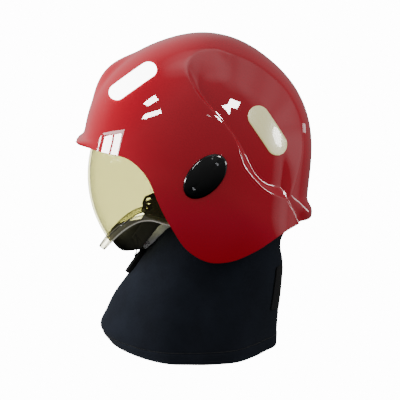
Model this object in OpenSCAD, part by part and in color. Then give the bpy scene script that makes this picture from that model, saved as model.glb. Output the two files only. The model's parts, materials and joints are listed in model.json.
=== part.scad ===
// Jet-style fire helmet with a retracting face shield.
// Millimetres. The origin is the middle of the visor's pivot axis, level with the ears.
// +X is the wearer's left, -Y is the front, +Z is up.

/* [Shell] */
// Half the shell's width at the visor pivots
shell_half_w = 118; // [114:0.5:122]
// Thickness of the shell's wall
shell_wall = 3.2; // [2.6:0.1:3.8]
// Depth of the sunk panel behind the rib
recess_depth = 6; // [4:0.5:7]
// How far the crest over the forehead stands proud
crest_h = 6; // [3:0.5:7]
// Half the width of the forehead crest
crest_half_w = 32; // [26:1:38]
// How far the brim turns out at the front
brim_flare = 8; // [5:0.5:9]
// How far the tail turns out at the back
tail_flare = 9; // [5:0.5:11]

/* [Visor] */
// Radius of the lens about its pivots, measured at the front
lens_r = 140; // [137:0.5:141]
// Thickness of the lens
lens_t = 2.5; // [2:0.1:3]
// Gap between the shell's inside and the lens at the pivots
lens_gap = 8.8; // [8:0.1:10]
// Height of the moulded lip along the lens's lower edge
lip_t = 6.5; // [4:0.5:8]
// How far the lip stands out from the lens at the front
lip_out = 12; // [8:0.5:13]
// How far the lip stands out from the lens at the sides
lip_out_side = 7; // [4:0.5:8]

/* [Pivots] */
// Diameter of the pivot pin
pin_d = 10; // [8:0.5:12]
// Running clearance round the pin
pin_clear = 0.2; // [0.1:0.05:0.4]
// Diameter of the hub that clamps the lens
hub_d = 36; // [32:1:40]
// Thickness of the friction washer
washer_t = 1.4; // [1:0.1:1.6]
// Length of the oval cover plate
cover_len = 61; // [56:1:66]
// Width of the oval cover plate
cover_w = 37; // [34:1:40]
// Thickness of the cover plate at its middle
cover_t = 5.5; // [4.5:0.5:7]
// Tilt of the cover plate's long axis from level
cover_tilt = 46.5; // [40:0.5:52]
// Distance from the pivot to each cover screw
screw_reach = 17.5; // [16:0.5:19]
// Diameter of a cover screw's head
screw_head_d = 5.5; // [5:0.1:6]
// Diameter of a cover screw's shank
screw_d = 3; // [2.5:0.1:3.4]

/* [Liner and headband] */
// Half the width of the space for the head
head_half_w = 83; // [80:0.5:85]
// Half the length of the space for the head
head_half_l = 102; // [99:0.5:104]
// Height of the space for the head above its middle
head_h = 92; // [88:0.5:96]
// Height of the middle of the head space above the pivots
head_mid_z = 35; // [32:1:38]
// Height of the headband
band_h = 30; // [24:1:34]
// Thickness of the headband
band_t = 1.8; // [1.4:0.1:2.2]
// Width of a crown strap
crown_w = 22; // [18:1:26]
// Diameter of the ratchet knob
knob_d = 32; // [28:1:36]
// Thickness of the ratchet knob
knob_t = 9; // [8:0.5:10]

/* [Harness] */
// Width of the chin webbing
web_w = 19; // [16:1:22]
// Thickness of the chin webbing
web_t = 1.8; // [1.4:0.1:2.2]
// Half the width of the chin cup
cup_half_w = 34; // [30:1:38]
// Thickness of the chin cup
cup_t = 3; // [2.4:0.2:3.6]
// Diameter of the hole in the strap divider
divider_hole_d = 9; // [7:0.5:10]
// Diameter of a strap anchor
anchor_d = 16; // [14:1:18]

/* [Neck curtain] */
// Half the width of the curtain's hem
hem_half_w = 106; // [100:1:110]
// Thickness of the curtain's cloth
curtain_t = 3; // [2.4:0.2:3.6]
// Depth of the curtain's folds at the hem
fold_depth = 4; // [2:0.5:6]

/* [Trim] */
// Thickness of a reflective sticker
sticker_t = 0.6; // [0.5:0.1:0.8]
// Width of the stickers
sticker_w = 25; // [21:0.5:28]

/* [Hidden] */
$fn = 64;

LEFT = 1;
RIGHT = -1;

// Shell form: its side view is a radius about the pivots, every 15 degrees from the front
// over the top to the back and under, and each cross-section is a superellipse. In front the
// radius is given by how far it stands outside the lens.
dome_n = 2.3;
front_room = [18, 9, 20, 29.5, 32.5, 34.5];
back_radii = [179.5, 178, 170, 165, 156.5, 146, 137.5, 138, 151, 182, 198, 205, 205, 205, 205,
    200, 192];
under_room = 38;
dome_radii = concat([for (room = front_room) lens_r + room], back_radii, [lens_r + under_room]);
step = 360 / len(dome_radii);
// The rim in side view, from the brim back round the ear lobe to the tail
rim_line = [[6 - lens_r, 32.5], [24 - lens_r, 27], [49 - lens_r, 21], [-72.6, 7], [-57, -21],
    [-40, -56], [-21, -84], [3.6, -98.7], [30, -98.7], [58, -88], [83.4, -73], [113.5, -59], [131.6, -52]];
brim_e = 14.2;
brim_fade = shell_half_w - 23;
tail_e = 198.1;
// The rib's convex edge and the comb's edge, round the sunk panel from its lower corner
edge_line = [[101, -29.5], [113, -5], [121, 30], [120, 69], [112, 88], [98.5, 107.5],
    [80, 124], [55, 139], [30, 147], [11.5, 152], [-8, 147], [-20, 127], [-12, 100],
    [3, 80], [23, 58], [32, 46], [43, 14], [54, -1], [75, -19], [101, -29.5]];
// The foot of that edge, where the sunk panel turns flat
floor_line = [[95, -13], [96, 6], [96, 25], [95, 50], [88, 75], [73, 97], [52, 112],
    [28, 120], [8, 121], [-3, 112], [-4, 100], [13.5, 77], [29.4, 58], [39.5, 44],
    [50, 27], [56, 14], [64, 1], [75.5, -8], [95, -13]];
panel_mid = [60, 60];

// Pieces on the pivot axis, stacked inwards from the shell
shell_in_w = shell_half_w - shell_wall;
lens_half_w = shell_in_w - lens_gap;
lens_n = 2.5;
base_t = 2.8;
base_out = shell_in_w - 0.95;
foot_d = 14;
washer_d = 28;
washer_out = base_out - base_t - 0.15;
hub_out = washer_out - washer_t - 0.2;
ring_t = 2.2;
ring_out = lens_half_w - lens_t - 0.4;
cap_t = 2.2;
cap_out = ring_out - ring_t - 0.3;
cap_d = pin_d + 8;
socket_d = 5;
bore_d = pin_d + pin_clear;
sleeve_d = bore_d + 5;
ring_d = hub_d - 6;
cover_sink = 1.6;
cover_edge = 3;
seat_r = 520;
screw_seat = 2;
screw_head_h = 1.8;

// The lens in side view: its lower edge from the front back to the arm, and its hidden top
lens_low_line = [[-130, -106], [-120, -94], [-112, -84], [-103, -74], [-90.5, -62.6], [-76, -54.4],
    [-63, -52.4], [-52.5, -54.4], [-42, -57.4], [-31, -56], [-20, -42], [-14, -22]];
lens_top = [-150, 62];

// Liner and head space
head_mid_y = 4;
liner_half_w = cap_out - cap_t - 1.75;
liner_front_r = lens_r - lens_t - 5.5;
liner_gap = 1.1;
visor_parked_e = 72;
hub_room = 36;
liner_top = 81;
liner_part = 1;
liner_low_front = 20;
liner_low_side = 13;
liner_low_back = 15;
band_half_w = head_half_w - 2.9;
band_half_l = head_half_l - 5.5;
band_front_z = 45;
band_back_z = 12;
crown_top_z = 118;
hanger_bearings = [50, 130, 230, 310];
knob_gap = 0.3;
knob_y = head_mid_y + band_half_l + 11;
knob_pin_d = 6;

// Harness, on the wearer's left
cup_line = [[36 - lens_r, -62], [28 - lens_r, -70], [30 - lens_r, -83], [43 - lens_r, -95],
    [61 - lens_r, -91]];
cup_wrap = [38, 42, 35, 25, 19];
cup_rise = 5;
cup_gap = 4;
divider_mid = [shell_half_w - 39.4, -63, -36.4];
divider_turn = -20;
divider_t = 2.4;
divider_rim = 3.5;
divider_lug = [4, -6];
divider_lug_d = 7;
divider_back = [[-11, 19], [12, 20]];
divider_corner_d = 8;
rivet_d = 2.2;
rivet_head_d = 4.4;
rivet_head_h = 0.9;
temple_anchor = [18, -35];
nape_anchor = [58, -52];
anchor_t = 3;
anchor_gap = 2;
strap_gap = 1;
chin_path = [[cup_half_w + cup_gap, 61 - lens_r, -83], [divider_mid[0] - 0.2, -57, -45.5]];
temple_path = [[divider_mid[0] + 4, -46, -33], [shell_half_w - 30.5, -32, -34],
    [shell_half_w - 23, -10, -36], [shell_half_w - 14.5, 6, -36.5], anchor_point(temple_anchor)];
nape_w = web_w - 9;
nape_path = [[cup_half_w + cup_gap + web_t + 0.5, 69.5 - lens_r, -86],
    [cup_half_w + 8, 79 - lens_r, -78], [cup_half_w + 13, 88 - lens_r, -68.5],
    [shell_half_w - 54.8, 98.8 - lens_r, -60.5], [shell_half_w - 43, -14, -55],
    [shell_half_w - 27, 20, -54.5], anchor_point(nape_anchor)];

// Neck curtain: front and back points and half widths, from the rim to the hem
curtain_front = [[74 - lens_r, -91], [63 - lens_r, -106], [49 - lens_r, -126],
    [33 - lens_r, -148], [23 - lens_r, -168], [15 - lens_r, -188], [28 - lens_r, -207]];
curtain_back = [[126, -44], [104, -80], [106, -110], [104, -140], [101, -165], [99, -190],
    [97, -212]];
curtain_side_z = [-62, -88, -114, -140, -166, -193, -219];
curtain_wide = [shell_half_w - 14, shell_half_w - 19, shell_half_w - 22, hem_half_w - 9,
    hem_half_w - 6, hem_half_w - 3, hem_half_w];
// The top edge rises at the front corners, where it runs up into the shell
corner_lift = [13, 8, 3, 0, 0, 0, 0];
hem = len(curtain_wide) - 1;
curtain_folds = 7;
// Bearings round the neck, from the front towards the left
tab_reach = 13;
tab_t = 6.5;
tab_rows = [0.05, 0.4, 0.8, 1.2, 1.5, 1.75];
strip_rows = [2, 3, 4];
loop_w = 12;
loop_line = [[59.6 - lens_r, -93], [60 - lens_r, -97], [57.4 - lens_r, -101.5],
    [58.6 - lens_r, -102.2], [61.6 - lens_r, -97.4], [61 - lens_r, -92.2]];
strip_from = 148;
strip_to = 162;
stud_bearings = [72, 104, 136, 160, 200, 224, 256, 288];
stud_d = 10;
stud_t = 3;
stud_row = 0.3;

// Stickers in side view
front_sticker_e = 53.55;
front_sticker_mid = 0.8066 * dome_r(front_sticker_e) * [-cos(front_sticker_e), sin(front_sticker_e)];
front_sticker_tilt = 35;
front_sticker_len = 64;
rear_sticker_mid = [77.5, 55];
rear_sticker_tilt = -55;
rear_sticker_len = 67;
rear_sticker_w = sticker_w + 2;
sticker_lift = 0.35;

function mix(a, b, t) = a + (b - a) * t;
function clamp(t) = max(0, min(1, t));
function ramp(t) = let (c = clamp(t)) c * c * (3 - 2 * c);

// A smooth curve through points, with n steps between neighbours
function through(p, n) = [for (i = [0:len(p) - 2], k = [0:n - 1])
        let (a = p[max(0, i - 1)], b = p[i], c = p[i + 1], d = p[min(len(p) - 1, i + 2)], t = k / n)
        0.5 * (2 * b + (c - a) * t + (2 * a - 5 * b + 4 * c - d) * t * t
            + (3 * b - a - 3 * c + d) * t * t * t),
    p[len(p) - 1]];

// Radius of the shell's side view at an angle from the front
function dome_r(e) = let (u = (e + 360) / step, i = floor(u), t = u - i, m = len(dome_radii),
        r = [for (k = [-1:2]) dome_radii[(i + k) % m]])
    ((1 - t) * (1 - t) * (1 - t) * r[0] + (3 * t * t * t - 6 * t * t + 4) * r[1]
        + (3 * t + 3 * t * t - 3 * t * t * t + 1) * r[2] + t * t * t * r[3]) / 6;

// A point of the dome: angle e from the front, share s from the pivot to the middle
function dome(e, s, drop = 0) = let (r = (dome_r(e) - drop) * pow(sin(90 * s), 2 / dome_n))
    [(shell_half_w - drop) * pow(cos(90 * s), 2 / dome_n), -r * cos(e), r * sin(e)];

// Side-view place as a place in the flat disc that the dome is laid out on
function disc(p) = let (e = atan2(p[1], -p[0]))
    asin(min(1, pow(norm(p) / dome_r(e), dome_n / 2))) / 90 * [-cos(e), sin(e)];
function disc_e(d) = let (e = atan2(d[1], -d[0])) e < 0 ? e + 360 : e;

// Distance across from the middle plane to the dome, at a side-view place
function dome_x(y, z, drop = 0) = let (r = dome_r(atan2(z, -y)) - drop)
    (shell_half_w - drop) * pow(max(0, 1 - pow(norm([y, z]) / r, dome_n)), 1 / dome_n);

// How far the forehead crest stands up
function crest(e, x) = abs(e - 48.5) > 15 ? 0
    : crest_h * pow(cos(90 * (e - 48.5) / 15), 1.5)
        * (1 - ramp((abs(x) - crest_half_w + 9) / 18));

panel_c = disc(panel_mid);
rim_disc = concat([[-cos(brim_e), sin(brim_e)]], [for (p = rim_line) disc(p)],
    [[-cos(tail_e), sin(tail_e)]]);
rim_path = through(rim_disc, 4);
edge_path = through([for (p = edge_line) disc(p)], 3);
floor_path = through([for (p = floor_line) disc(p)], 3);

// Distance from the panel's middle to a line, along a direction
function reach(line, phi) = let (d = [cos(phi), sin(phi)])
    min([for (i = [0:len(line) - 2])
        let (p = line[i] - panel_c, q = line[i + 1] - line[i], den = cross(d, q))
        if (abs(den) > 1e-9)
            let (t = cross(p, q) / den, u = cross(p, d) / den)
            if (t > 0 && u > -1e-4 && u < 1.0001) t]);
function reach_middle(phi) = let (d = [cos(phi), sin(phi)], k = panel_c * d)
    -k + sqrt(k * k - panel_c * panel_c + 1);
function toward(p) = let (a = atan2(p[1] - panel_c[1], p[0] - panel_c[0])) a < 0 ? a + 360 : a;

// Directions of the grid's rays, from the panel's lower corner round and back
corner_phi = toward(disc(edge_line[0]));
tail_phi = toward(rim_disc[len(rim_disc) - 1]);
brim_phi = toward(rim_disc[0]) + 360;
crease = 0.5;
crease_step = 2.5;
tail_rays = 6;
middle_rays = 44;
rim_rays = 34;
rays = concat([for (i = [0:tail_rays - 1]) mix(corner_phi + crease, tail_phi, i / tail_rays)],
    [for (i = [0:middle_rays - 1]) mix(tail_phi, brim_phi, i / middle_rays)],
    [for (i = [0:rim_rays]) mix(brim_phi, corner_phi + 360 - crease, i / rim_rays)]);
first_middle = tail_rays;
last_middle = tail_rays + middle_rays;

// Rings of the grid: [0 to 1] is the panel's floor, [1 to 2] its wall, [2 to 3] the rest
outer_rings = [0.35, 0.7, 1, 1.33, 1.67, 2, 2.14, 2.3, 2.48, 2.66, 2.8, 2.88, 2.945, 3];
inner_rings = [0.5, 1, 2, 2.35, 2.7, 3];

// The grid's rays with their three reaches, worked out once
ray_reach = [for (i = [0:len(rays) - 1])
    let (phi = rays[i], f = reach(floor_path, phi), w = max(reach(edge_path, phi), f + 0.02),
        on_rim = i <= first_middle || i >= last_middle,
        b = i > first_middle && i < last_middle ? reach_middle(phi)
            : i == first_middle || i == last_middle ? reach_middle(phi)
            : reach(rim_path, phi))
    [f, w, max(b, w + 0.02)]];

// How far a place on the grid stands off the plain dome
function stand_off(i, ring, e, x, gap) = let (phi = rays[i],
        comb = ramp((phi - corner_phi - 14) / 30) * ramp((corner_phi + 210 - phi) / 30),
        wall = ring < 1 ? 0 : ring > 2 ? 1 : pow(ring - 1, mix(1, 2, comb)),
        brim = e > 60 ? 0 : brim_flare * ramp((brim_fade - abs(x)) / 55)
            * (gap < 0.07 ? mix(0.5, 1, sin(90 * gap / 0.07)) : ramp(1 - (gap - 0.07) / 0.15)),
        tail = i > tail_rays + 10 ? 0 : ramp(1 - gap / 0.3)
            * mix(-crease_step, tail_flare, ramp(i / tail_rays)))
    -recess_depth * (1 - wall) + brim + tail;

function shell_point(i, ring, drop) = let (phi = rays[i], r = ray_reach[i],
        t = ring < 1 ? r[0] * ring : ring < 2 ? mix(r[0], r[1], ring - 1)
            : mix(r[1], r[2], ring - 2),
        d = panel_c + t * [cos(phi), sin(phi)],
        middle = ring == 3 && i >= first_middle && i <= last_middle,
        s = middle ? 1 : min(1, norm(d)), e = disc_e(d),
        p = dome(e, s, drop), gap = norm(d - panel_c - rim_reach(i) * [cos(phi), sin(phi)]),
        off = stand_off(i, ring, e, p[0], gap) + crest(e, p[0]))
    let (q = p * (1 + off / norm(p))) middle ? [0, q[1], q[2]] : q;

// Distance along a ray at which the brim or tail lies, for the turned-out edges
function rim_reach(i) = i >= first_middle && i <= last_middle
    ? (i - first_middle < 12 ? mix(ray_reach[first_middle][2], 3, (i - first_middle) / 12)
        : last_middle - i < 12 ? mix(ray_reach[last_middle][2], 3, (last_middle - i) / 12) : 3)
    : ray_reach[i][2];

// Faces of a closed skin: signed volume decides which way round they are listed
function six_volume(p, f) = let (v = [for (t = f) cross(p[t[0]], p[t[1]]) * p[t[2]]])
    v * [for (t = f) 1];
module closed(points, faces) {
    inside_out = six_volume(points, faces) > 0;
    polyhedron(points, inside_out ? [for (t = faces) [t[0], t[2], t[1]]] : faces);
}

// Triangles of a grid of rows and columns that starts at a point number
function grid(rows, cols, first, wrap, flip) = [for (i = [0:rows - 2], j = [0:cols - (wrap ? 1 : 2)])
    let (a = first + i * cols + j, b = first + i * cols + (j + 1) % cols, c = b + cols, d = a + cols)
    each flip ? [[a, b, c], [a, c, d]] : [[a, c, b], [a, d, c]]];
// Triangles from one point to a ring of points
function fan(hub, first, cols, flip) = [for (j = [0:cols - 1])
    flip ? [hub, first + (j + 1) % cols, first + j] : [hub, first + j, first + (j + 1) % cols]];
// Triangles that join two rows of points, between two columns
function strip(a, b, from, to, cols, flip) = [for (j = [from:to - 1])
    let (p = a + j % cols, q = a + (j + 1) % cols, r = b + (j + 1) % cols, s = b + j % cols)
    each flip ? [[p, r, q], [p, s, r]] : [[p, q, r], [p, r, s]]];

// A solid between an outer and an inner grid of points, closed round its edges
module skin(outer, inner, wrap = false) {
    rows = len(outer);
    cols = len(outer[0]);
    n = rows * cols;
    points = concat([for (row = outer) each row], [for (row = inner) each row]);
    sides = wrap ? [] : [for (i = [0:rows - 2], side = [0, 1])
        let (a = i * cols + side * (cols - 1), b = a + cols)
        each side == 0 ? [[a, a + n, b + n], [a, b + n, b]] : [[a, b + n, a + n], [a, b, b + n]]];
    closed(points, concat(grid(rows, cols, 0, wrap, false), grid(rows, cols, n, wrap, true),
        strip(0, n, 0, wrap ? cols : cols - 1, cols, false),
        strip(n - cols, 2 * n - cols, 0, wrap ? cols : cols - 1, cols, true), sides));
}

// Puts a piece on the wearer's left or right
module on_side(side) {
    mirror([side < 0 ? 1 : 0, 0, 0]) children();
}

// Puts a piece on the pivot axis: its own Z runs outwards along +X
module on_pivot(side, tilt = 0) {
    on_side(side) rotate([90, 0, 90]) rotate([0, 0, tilt]) children();
}

module outer_shell() {
    cols = len(rays);
    half_out = [for (r = outer_rings) [for (i = [0:cols - 1]) shell_point(i, r, 0)]];
    half_in = [for (r = inner_rings) [for (i = [0:cols - 1]) shell_point(i, r, shell_wall)]];
    one = concat([shell_point(0, 0, 0)], [for (row = half_out) each row],
        [shell_point(0, 0, shell_wall)], [for (row = half_in) each row]);
    n = len(one);
    inner_at = 1 + len(half_out) * cols;
    out_edge = 1 + (len(half_out) - 1) * cols;
    in_edge = inner_at + 1 + (len(half_in) - 1) * cols;
    half = concat(fan(0, 1, cols, false), grid(len(half_out), cols, 1, true, false),
        fan(inner_at, inner_at + 1, cols, true),
        grid(len(half_in), cols, inner_at + 1, true, true),
        strip(out_edge, in_edge, 0, first_middle, cols, true),
        strip(out_edge, in_edge, last_middle, cols, cols, true));
    points = concat(one, [for (p = one) [-p[0], p[1], p[2]]]);
    // The two halves share the points of the middle plane
    twin = [for (k = [0:n - 1]) one[k][0] == 0 ? k : k + n];
    faces = concat(half, [for (t = half) [twin[t[0]], twin[t[2]], twin[t[1]]]]);
    color("#a81822") difference() {
        closed(points, faces);
        for (side = [LEFT, RIGHT], way = [-1, 1])
            on_pivot(side, cover_tilt) translate([way * screw_reach, 0, shell_in_w - 6])
                cylinder(d = screw_d + 0.6, h = 3 * shell_wall + 10);
    }
}

// A thin oblong piece that follows the dome: its middle, tilt and sizes are in side view
module on_dome(middle, tilt, length, width, sunk, thick) {
    bend = [-1, 0, 1];
    run = [for (j = [0:12]) sin(90 * (j / 6 - 1))];
    place = [for (b = bend) [for (u = run)
        let (half = width / 2, straight = length / 2 - half, along = u * length / 2,
            past = max(0, abs(along) - straight),
            across = b * sqrt(max(0.03, 1 - pow(past / half, 2))) * half)
        middle + along * [cos(tilt), sin(tilt)] + across * [-sin(tilt), cos(tilt)]]];
    function lay(off) = [for (row = place) [for (q = row)
        let (p = [dome_x(q[0], q[1]), q[0], q[1]],
            f = 1 + (off - sunk + crest(atan2(q[1], -q[0]), p[0])) / norm(p)) p * f]];
    skin(lay(sticker_lift + thick), lay(sticker_lift));
}

module front_sticker(side) {
    color("#f4f4f2") on_side(side)
        on_dome(front_sticker_mid, front_sticker_tilt, front_sticker_len, sticker_w * 0.8, 0,
            sticker_t);
}

module rear_sticker(side) {
    color("#beb99b") on_side(side)
        on_dome(rear_sticker_mid, rear_sticker_tilt, rear_sticker_len,
            rear_sticker_w, recess_depth, sticker_t);
}

// Bearing plate inside the shell, with the visor's pivot pin
module pivot_base(side) {
    color("#2a2a2c") on_pivot(side, cover_tilt) difference() {
        union() {
            translate([0, 0, base_out - base_t]) hull()
                for (way = [-1, 1])
                    translate([way * screw_reach, 0, 0]) cylinder(d = foot_d, h = base_t);
            translate([0, 0, base_out - base_t]) cylinder(d = washer_d, h = base_t);
            translate([0, 0, cap_out]) cylinder(d = pin_d, h = base_out - cap_out - 0.5);
        }
        for (way = [-1, 1])
            translate([way * screw_reach, 0, base_out - base_t - 1])
                cylinder(d = screw_d + 0.2, h = base_t + 2);
    }
}

module friction_washer(side) {
    color("#d9cfa8") on_pivot(side) translate([0, 0, washer_out - washer_t])
        difference() {
            cylinder(d = washer_d, h = washer_t);
            translate([0, 0, -1]) cylinder(d = bore_d, h = washer_t + 2);
        }
}

// Caps on the inner ends of the two pins
module pivot_caps() {
    for (side = [LEFT, RIGHT])
        color("#77797c") on_pivot(side) translate([0, 0, cap_out - cap_t]) difference() {
            cylinder(d = cap_d, h = cap_t);
            translate([0, 0, -1]) cylinder(d = socket_d, h = 2.2, $fn = 6);
        }
}

// Oval plate over the pivot, domed outside and hollowed to sit on the shell
module side_cover(side) {
    seat_z = shell_half_w + 0.15;
    color("#101012") on_pivot(side, cover_tilt) difference() {
        translate([0, 0, seat_z - cover_sink]) scale([cover_len / cover_w, 1, 1]) rotate_extrude()
            polygon([[0, 0], [cover_w / 2, 0], [cover_w / 2, cover_edge],
                for (k = [1:5])
                    [cover_w / 2 - 3 * (1 - cos(18 * k)), cover_edge + 1.8 * sin(18 * k)],
                [cover_w / 4, cover_t + cover_sink - 0.3], [0, cover_t + cover_sink]]);
        translate([0, 0, seat_z - seat_r]) sphere(r = seat_r, $fn = 180);
        for (way = [-1, 1])
            translate([way * screw_reach, 0, seat_z - 2]) {
                cylinder(d = screw_d + 0.4, h = 12);
                translate([0, 0, 2 + screw_seat]) cylinder(d = screw_head_d + 0.6, h = 12);
            }
    }
}

module cover_screws() {
    seat_z = shell_half_w + 0.15 + screw_seat;
    for (side = [LEFT, RIGHT], way = [-1, 1])
        color("#8c8e90") on_pivot(side, cover_tilt) translate([way * screw_reach, 0, 0])
            difference() {
                union() {
                    translate([0, 0, seat_z]) cylinder(d = screw_head_d, h = screw_head_h);
                    translate([0, 0, base_out - base_t + 0.3])
                        cylinder(d = screw_d, h = seat_z + 0.5 - base_out + base_t);
                }
                translate([0, 0, seat_z + 0.8]) cylinder(d = screw_head_d / 2, h = 4, $fn = 6);
            }
}

// Rounded outline of the lens in section: radius from the pivot axis by half width
function lens_arc(r, w, from, to) = [for (k = [0:12]) let (a = mix(from, to, k / 12))
    [r * pow(sin(a), 2 / lens_n), w * pow(cos(a), 2 / lens_n)]];
function turned(line) = [for (k = [len(line) - 1:-1:0]) line[k]];
function mirrored(line) = [for (p = line) [p[0], -p[1]]];

// A hollow body of revolution about the pivot axis, between two rounded outlines
module about_axis(r, w, r_in, w_in) {
    hole = (sleeve_d + 0.4) / 2;
    pole = asin(pow(hole / r, lens_n / 2));
    pole_in = asin(pow(hole / r_in, lens_n / 2));
    out = lens_arc(r, w, pole, 90);
    in = lens_arc(r_in, w_in, pole_in, 90);
    rotate([0, 90, 0]) rotate_extrude($fn = 120)
        polygon(concat(out, [for (k = [len(out) - 2:-1:0]) [out[k][0], -out[k][1]]],
            mirrored(in), [for (k = [len(in) - 2:-1:0]) in[k]]));
}

// Everything inside a side-view outline
module side_prism(outline, wide = 3.4 * shell_half_w) {
    translate([-wide / 2, 0, 0]) rotate([90, 0, 90]) linear_extrude(wide) polygon(outline);
}

// A line in side view moved sideways, upwards where it runs to the back
function beside(line, off) = [for (i = [0:len(line) - 1])
    let (a = line[max(0, i - 1)], b = line[min(len(line) - 1, i + 1)], d = (b - a) / norm(b - a))
    line[i] + off * [-d[1], d[0]]];

module visor_lens() {
    low = through(lens_low_line, 3);
    arm = [for (a = [-50:20:230]) hub_d / 2 * 1.1 * [sin(a), -cos(a)]];
    lip = [for (p = low) if (norm(p) > 68) p];
    color([0.85, 0.82, 0.62, 0.5]) union() {
        intersection() {
            about_axis(lens_r, lens_half_w, lens_r - lens_t, lens_half_w - lens_t);
            side_prism(concat(low, arm, [lens_top]));
        }
        intersection() {
            about_axis(lens_r + lip_out, lens_half_w + lip_out_side,
                lens_r - lens_t / 2, lens_half_w - lens_t / 2);
            side_prism(concat(lip, turned(beside(lip, lip_t))));
        }
    }
}

// Flanged hub that clamps the lens from outside and turns on the pin
module visor_hub(side) {
    color("#1c1c1e") on_pivot(side) difference() {
        union() {
            translate([0, 0, lens_half_w + 0.05])
                cylinder(d = hub_d, h = hub_out - lens_half_w - 0.05);
            translate([0, 0, ring_out - ring_t])
                cylinder(d = sleeve_d, h = hub_out - ring_out + ring_t - 0.1);
        }
        translate([0, 0, ring_out - ring_t - 1]) cylinder(d = bore_d, h = hub_out);
    }
}

module hub_clamp_rings() {
    for (side = [LEFT, RIGHT])
        color("#8b8c8f") on_pivot(side) translate([0, 0, ring_out - ring_t]) difference() {
            cylinder(d = ring_d, h = ring_t);
            translate([0, 0, -1]) cylinder(d = sleeve_d, h = ring_t + 2);
        }
}

// A unit direction by its bearing from the front, towards the left, and its rise
function level(d) = [d[0], d[1], 0] / norm([d[0], d[1]]);
function bearing(a, rise = 0) = [sin(a) * cos(rise), -cos(a) * cos(rise), sin(rise)];

// Distance from the origin to the head space, and to the liner's outside, along a direction
function head_reach(d, grow = 0) = let (q = [d[0] / (head_half_w + grow),
        d[1] / (head_half_l + grow), d[2] / (head_h + grow)],
        c = [0, -head_mid_y / (head_half_l + grow), -head_mid_z / (head_h + grow)],
        k = q * c, n = q * q)
    (-k + sqrt(k * k - n * (c * c - 1))) / n;
function reach_of(d, w, r) =
    pow(pow(abs(d[0]) / w, dome_n) + pow(norm([d[1], d[2]]) / r, dome_n), -1 / dome_n);
// The liner leaves room for the raised visor and its hubs, and fills the shell behind them
function liner_reach(d) = let (e = atan2(d[2], -d[1]), slim = reach_of(d, liner_half_w, liner_front_r),
        full = reach_of(d, shell_in_w, dome_r(e) - shell_wall) - recess_depth - liner_gap,
        behind = ramp((e - visor_parked_e) / 16),
        past_hub = ramp((slim * norm([d[1], d[2]]) - hub_room) / 16))
    mix(slim, full, behind * past_hub);

// The foam is four pieces round an open crown, parted at the front, the back and the sides
function liner_low(a) = mix(liner_low_side, a > 90 && a < 270 ? liner_low_back : liner_low_front,
    pow(cos(a), 2));
module liner_quarter(k) {
    cols = 12;
    rows = 9;
    aim = [for (i = [0:rows - 1]) [for (j = [0:cols]) let (a = 90 * k + 90 * j / cols,
            part = j == 0 ? 1 : j == cols ? -1 : 0)
        [bearing(a, mix(liner_top, liner_low(a), i / (rows - 1))), part]]];
    function shift(q, reach) = q[0] * reach
        + (q[1] == 0 ? [0, 0, 0] : q[1] * liner_part / 2 * cross([0, 0, 1], level(q[0])));
    color("#3a3a38") skin([for (row = aim) [for (q = row) shift(q, liner_reach(q[0]))]],
        [for (row = aim) [for (q = row) shift(q, head_reach(q[0]))]]);
}

// The headband's line: an oval round the head that dips at the nape
function band_z(a) = mix(band_back_z, band_front_z, (1 + cos(a)) / 2);
function band_point(a, off, up) = [(band_half_w + off) * sin(a),
    head_mid_y - (band_half_l + off) * cos(a), band_z(a) + up];
module round_band(from, to, cols, low, high, off, thick, wrap = false) {
    angles = [for (j = [0:cols]) if (!wrap || j < cols) mix(from, to, j / cols)];
    function row(off, up) = [for (a = angles) band_point(a, off, up)];
    skin([row(off + thick, high), row(off + thick, low)], [row(off, high), row(off, low)], wrap);
}

module headband() {
    color("#222224") round_band(0, 360, 64, -band_h / 2, band_h / 2, -band_t, band_t, true);
}

// Sweatband over the forehead, and a pad at the nape, inside the headband
module brow_pad() {
    color("#4a3f36") round_band(-62, 62, 24, -band_h / 2 - 2, band_h / 2 - 0.5, -band_t - 4.2, 4);
}
module nape_pad() {
    color("#4a3f36") round_band(140, 220, 16, -band_h / 2 - 1, band_h / 2 - 0.5, -band_t - 4.2, 4);
}

// Clips that hang the headband from the liner
module band_hangers() {
    for (a = hanger_bearings)
        color("#333336") hanger(a);
}
module hanger(a) {
    rows = [band_h / 2 - 8, band_h / 2 - 1];
    wide = [-4, 0, 4];
    out = [for (up = rows) [for (w = wide)
        let (p = band_point(a + w, 0, up), d = p / norm(p)) d * (head_reach(d) - 0.8)]];
    in = [for (up = rows) [for (w = wide) band_point(a + w, 0.1, up)]];
    skin(out, in);
}

// Height of a crown strap's foot, just above the headband, at a bearing
crown_half_a = asin(crown_w / 2 / band_half_w);
function foot(b) = max(band_z(b - crown_half_a), band_z(b + crown_half_a)) + band_h / 2 + 0.3;

// Three webbing straps over the crown, one above another where they cross, each from the
// headband's upper edge to the edge on the other side
module crown_straps() {
    for (k = [0:2]) {
        a = 30 + 60 * k;
        arc = [for (i = [0:18]) let (t = 10 * i, z0 = mix(foot(a + 180), foot(a), (1 + cos(t)) / 2),
                top = crown_top_z + k * (web_t + 0.15),
                mid = [cos(t) * sin(a) * (band_half_w - band_t),
                    head_mid_y - cos(t) * cos(a) * (band_half_l - band_t),
                    z0 + pow(sin(t), 1.25) * (top - z0)],
                across = [cos(a), sin(a), 0] * crown_w / 2)
            [mid - across, mid + across]];
        rise = [for (i = [0:18]) let (b = arc[max(0, i - 1)][0], c = arc[min(18, i + 1)][0],
                n = cross(arc[i][1] - arc[i][0], c - b)) n / norm(n) * web_t];
        color("#5d5a52") skin([for (i = [0:18]) [for (q = arc[i]) q - rise[i]]], arc);
    }
}

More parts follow.
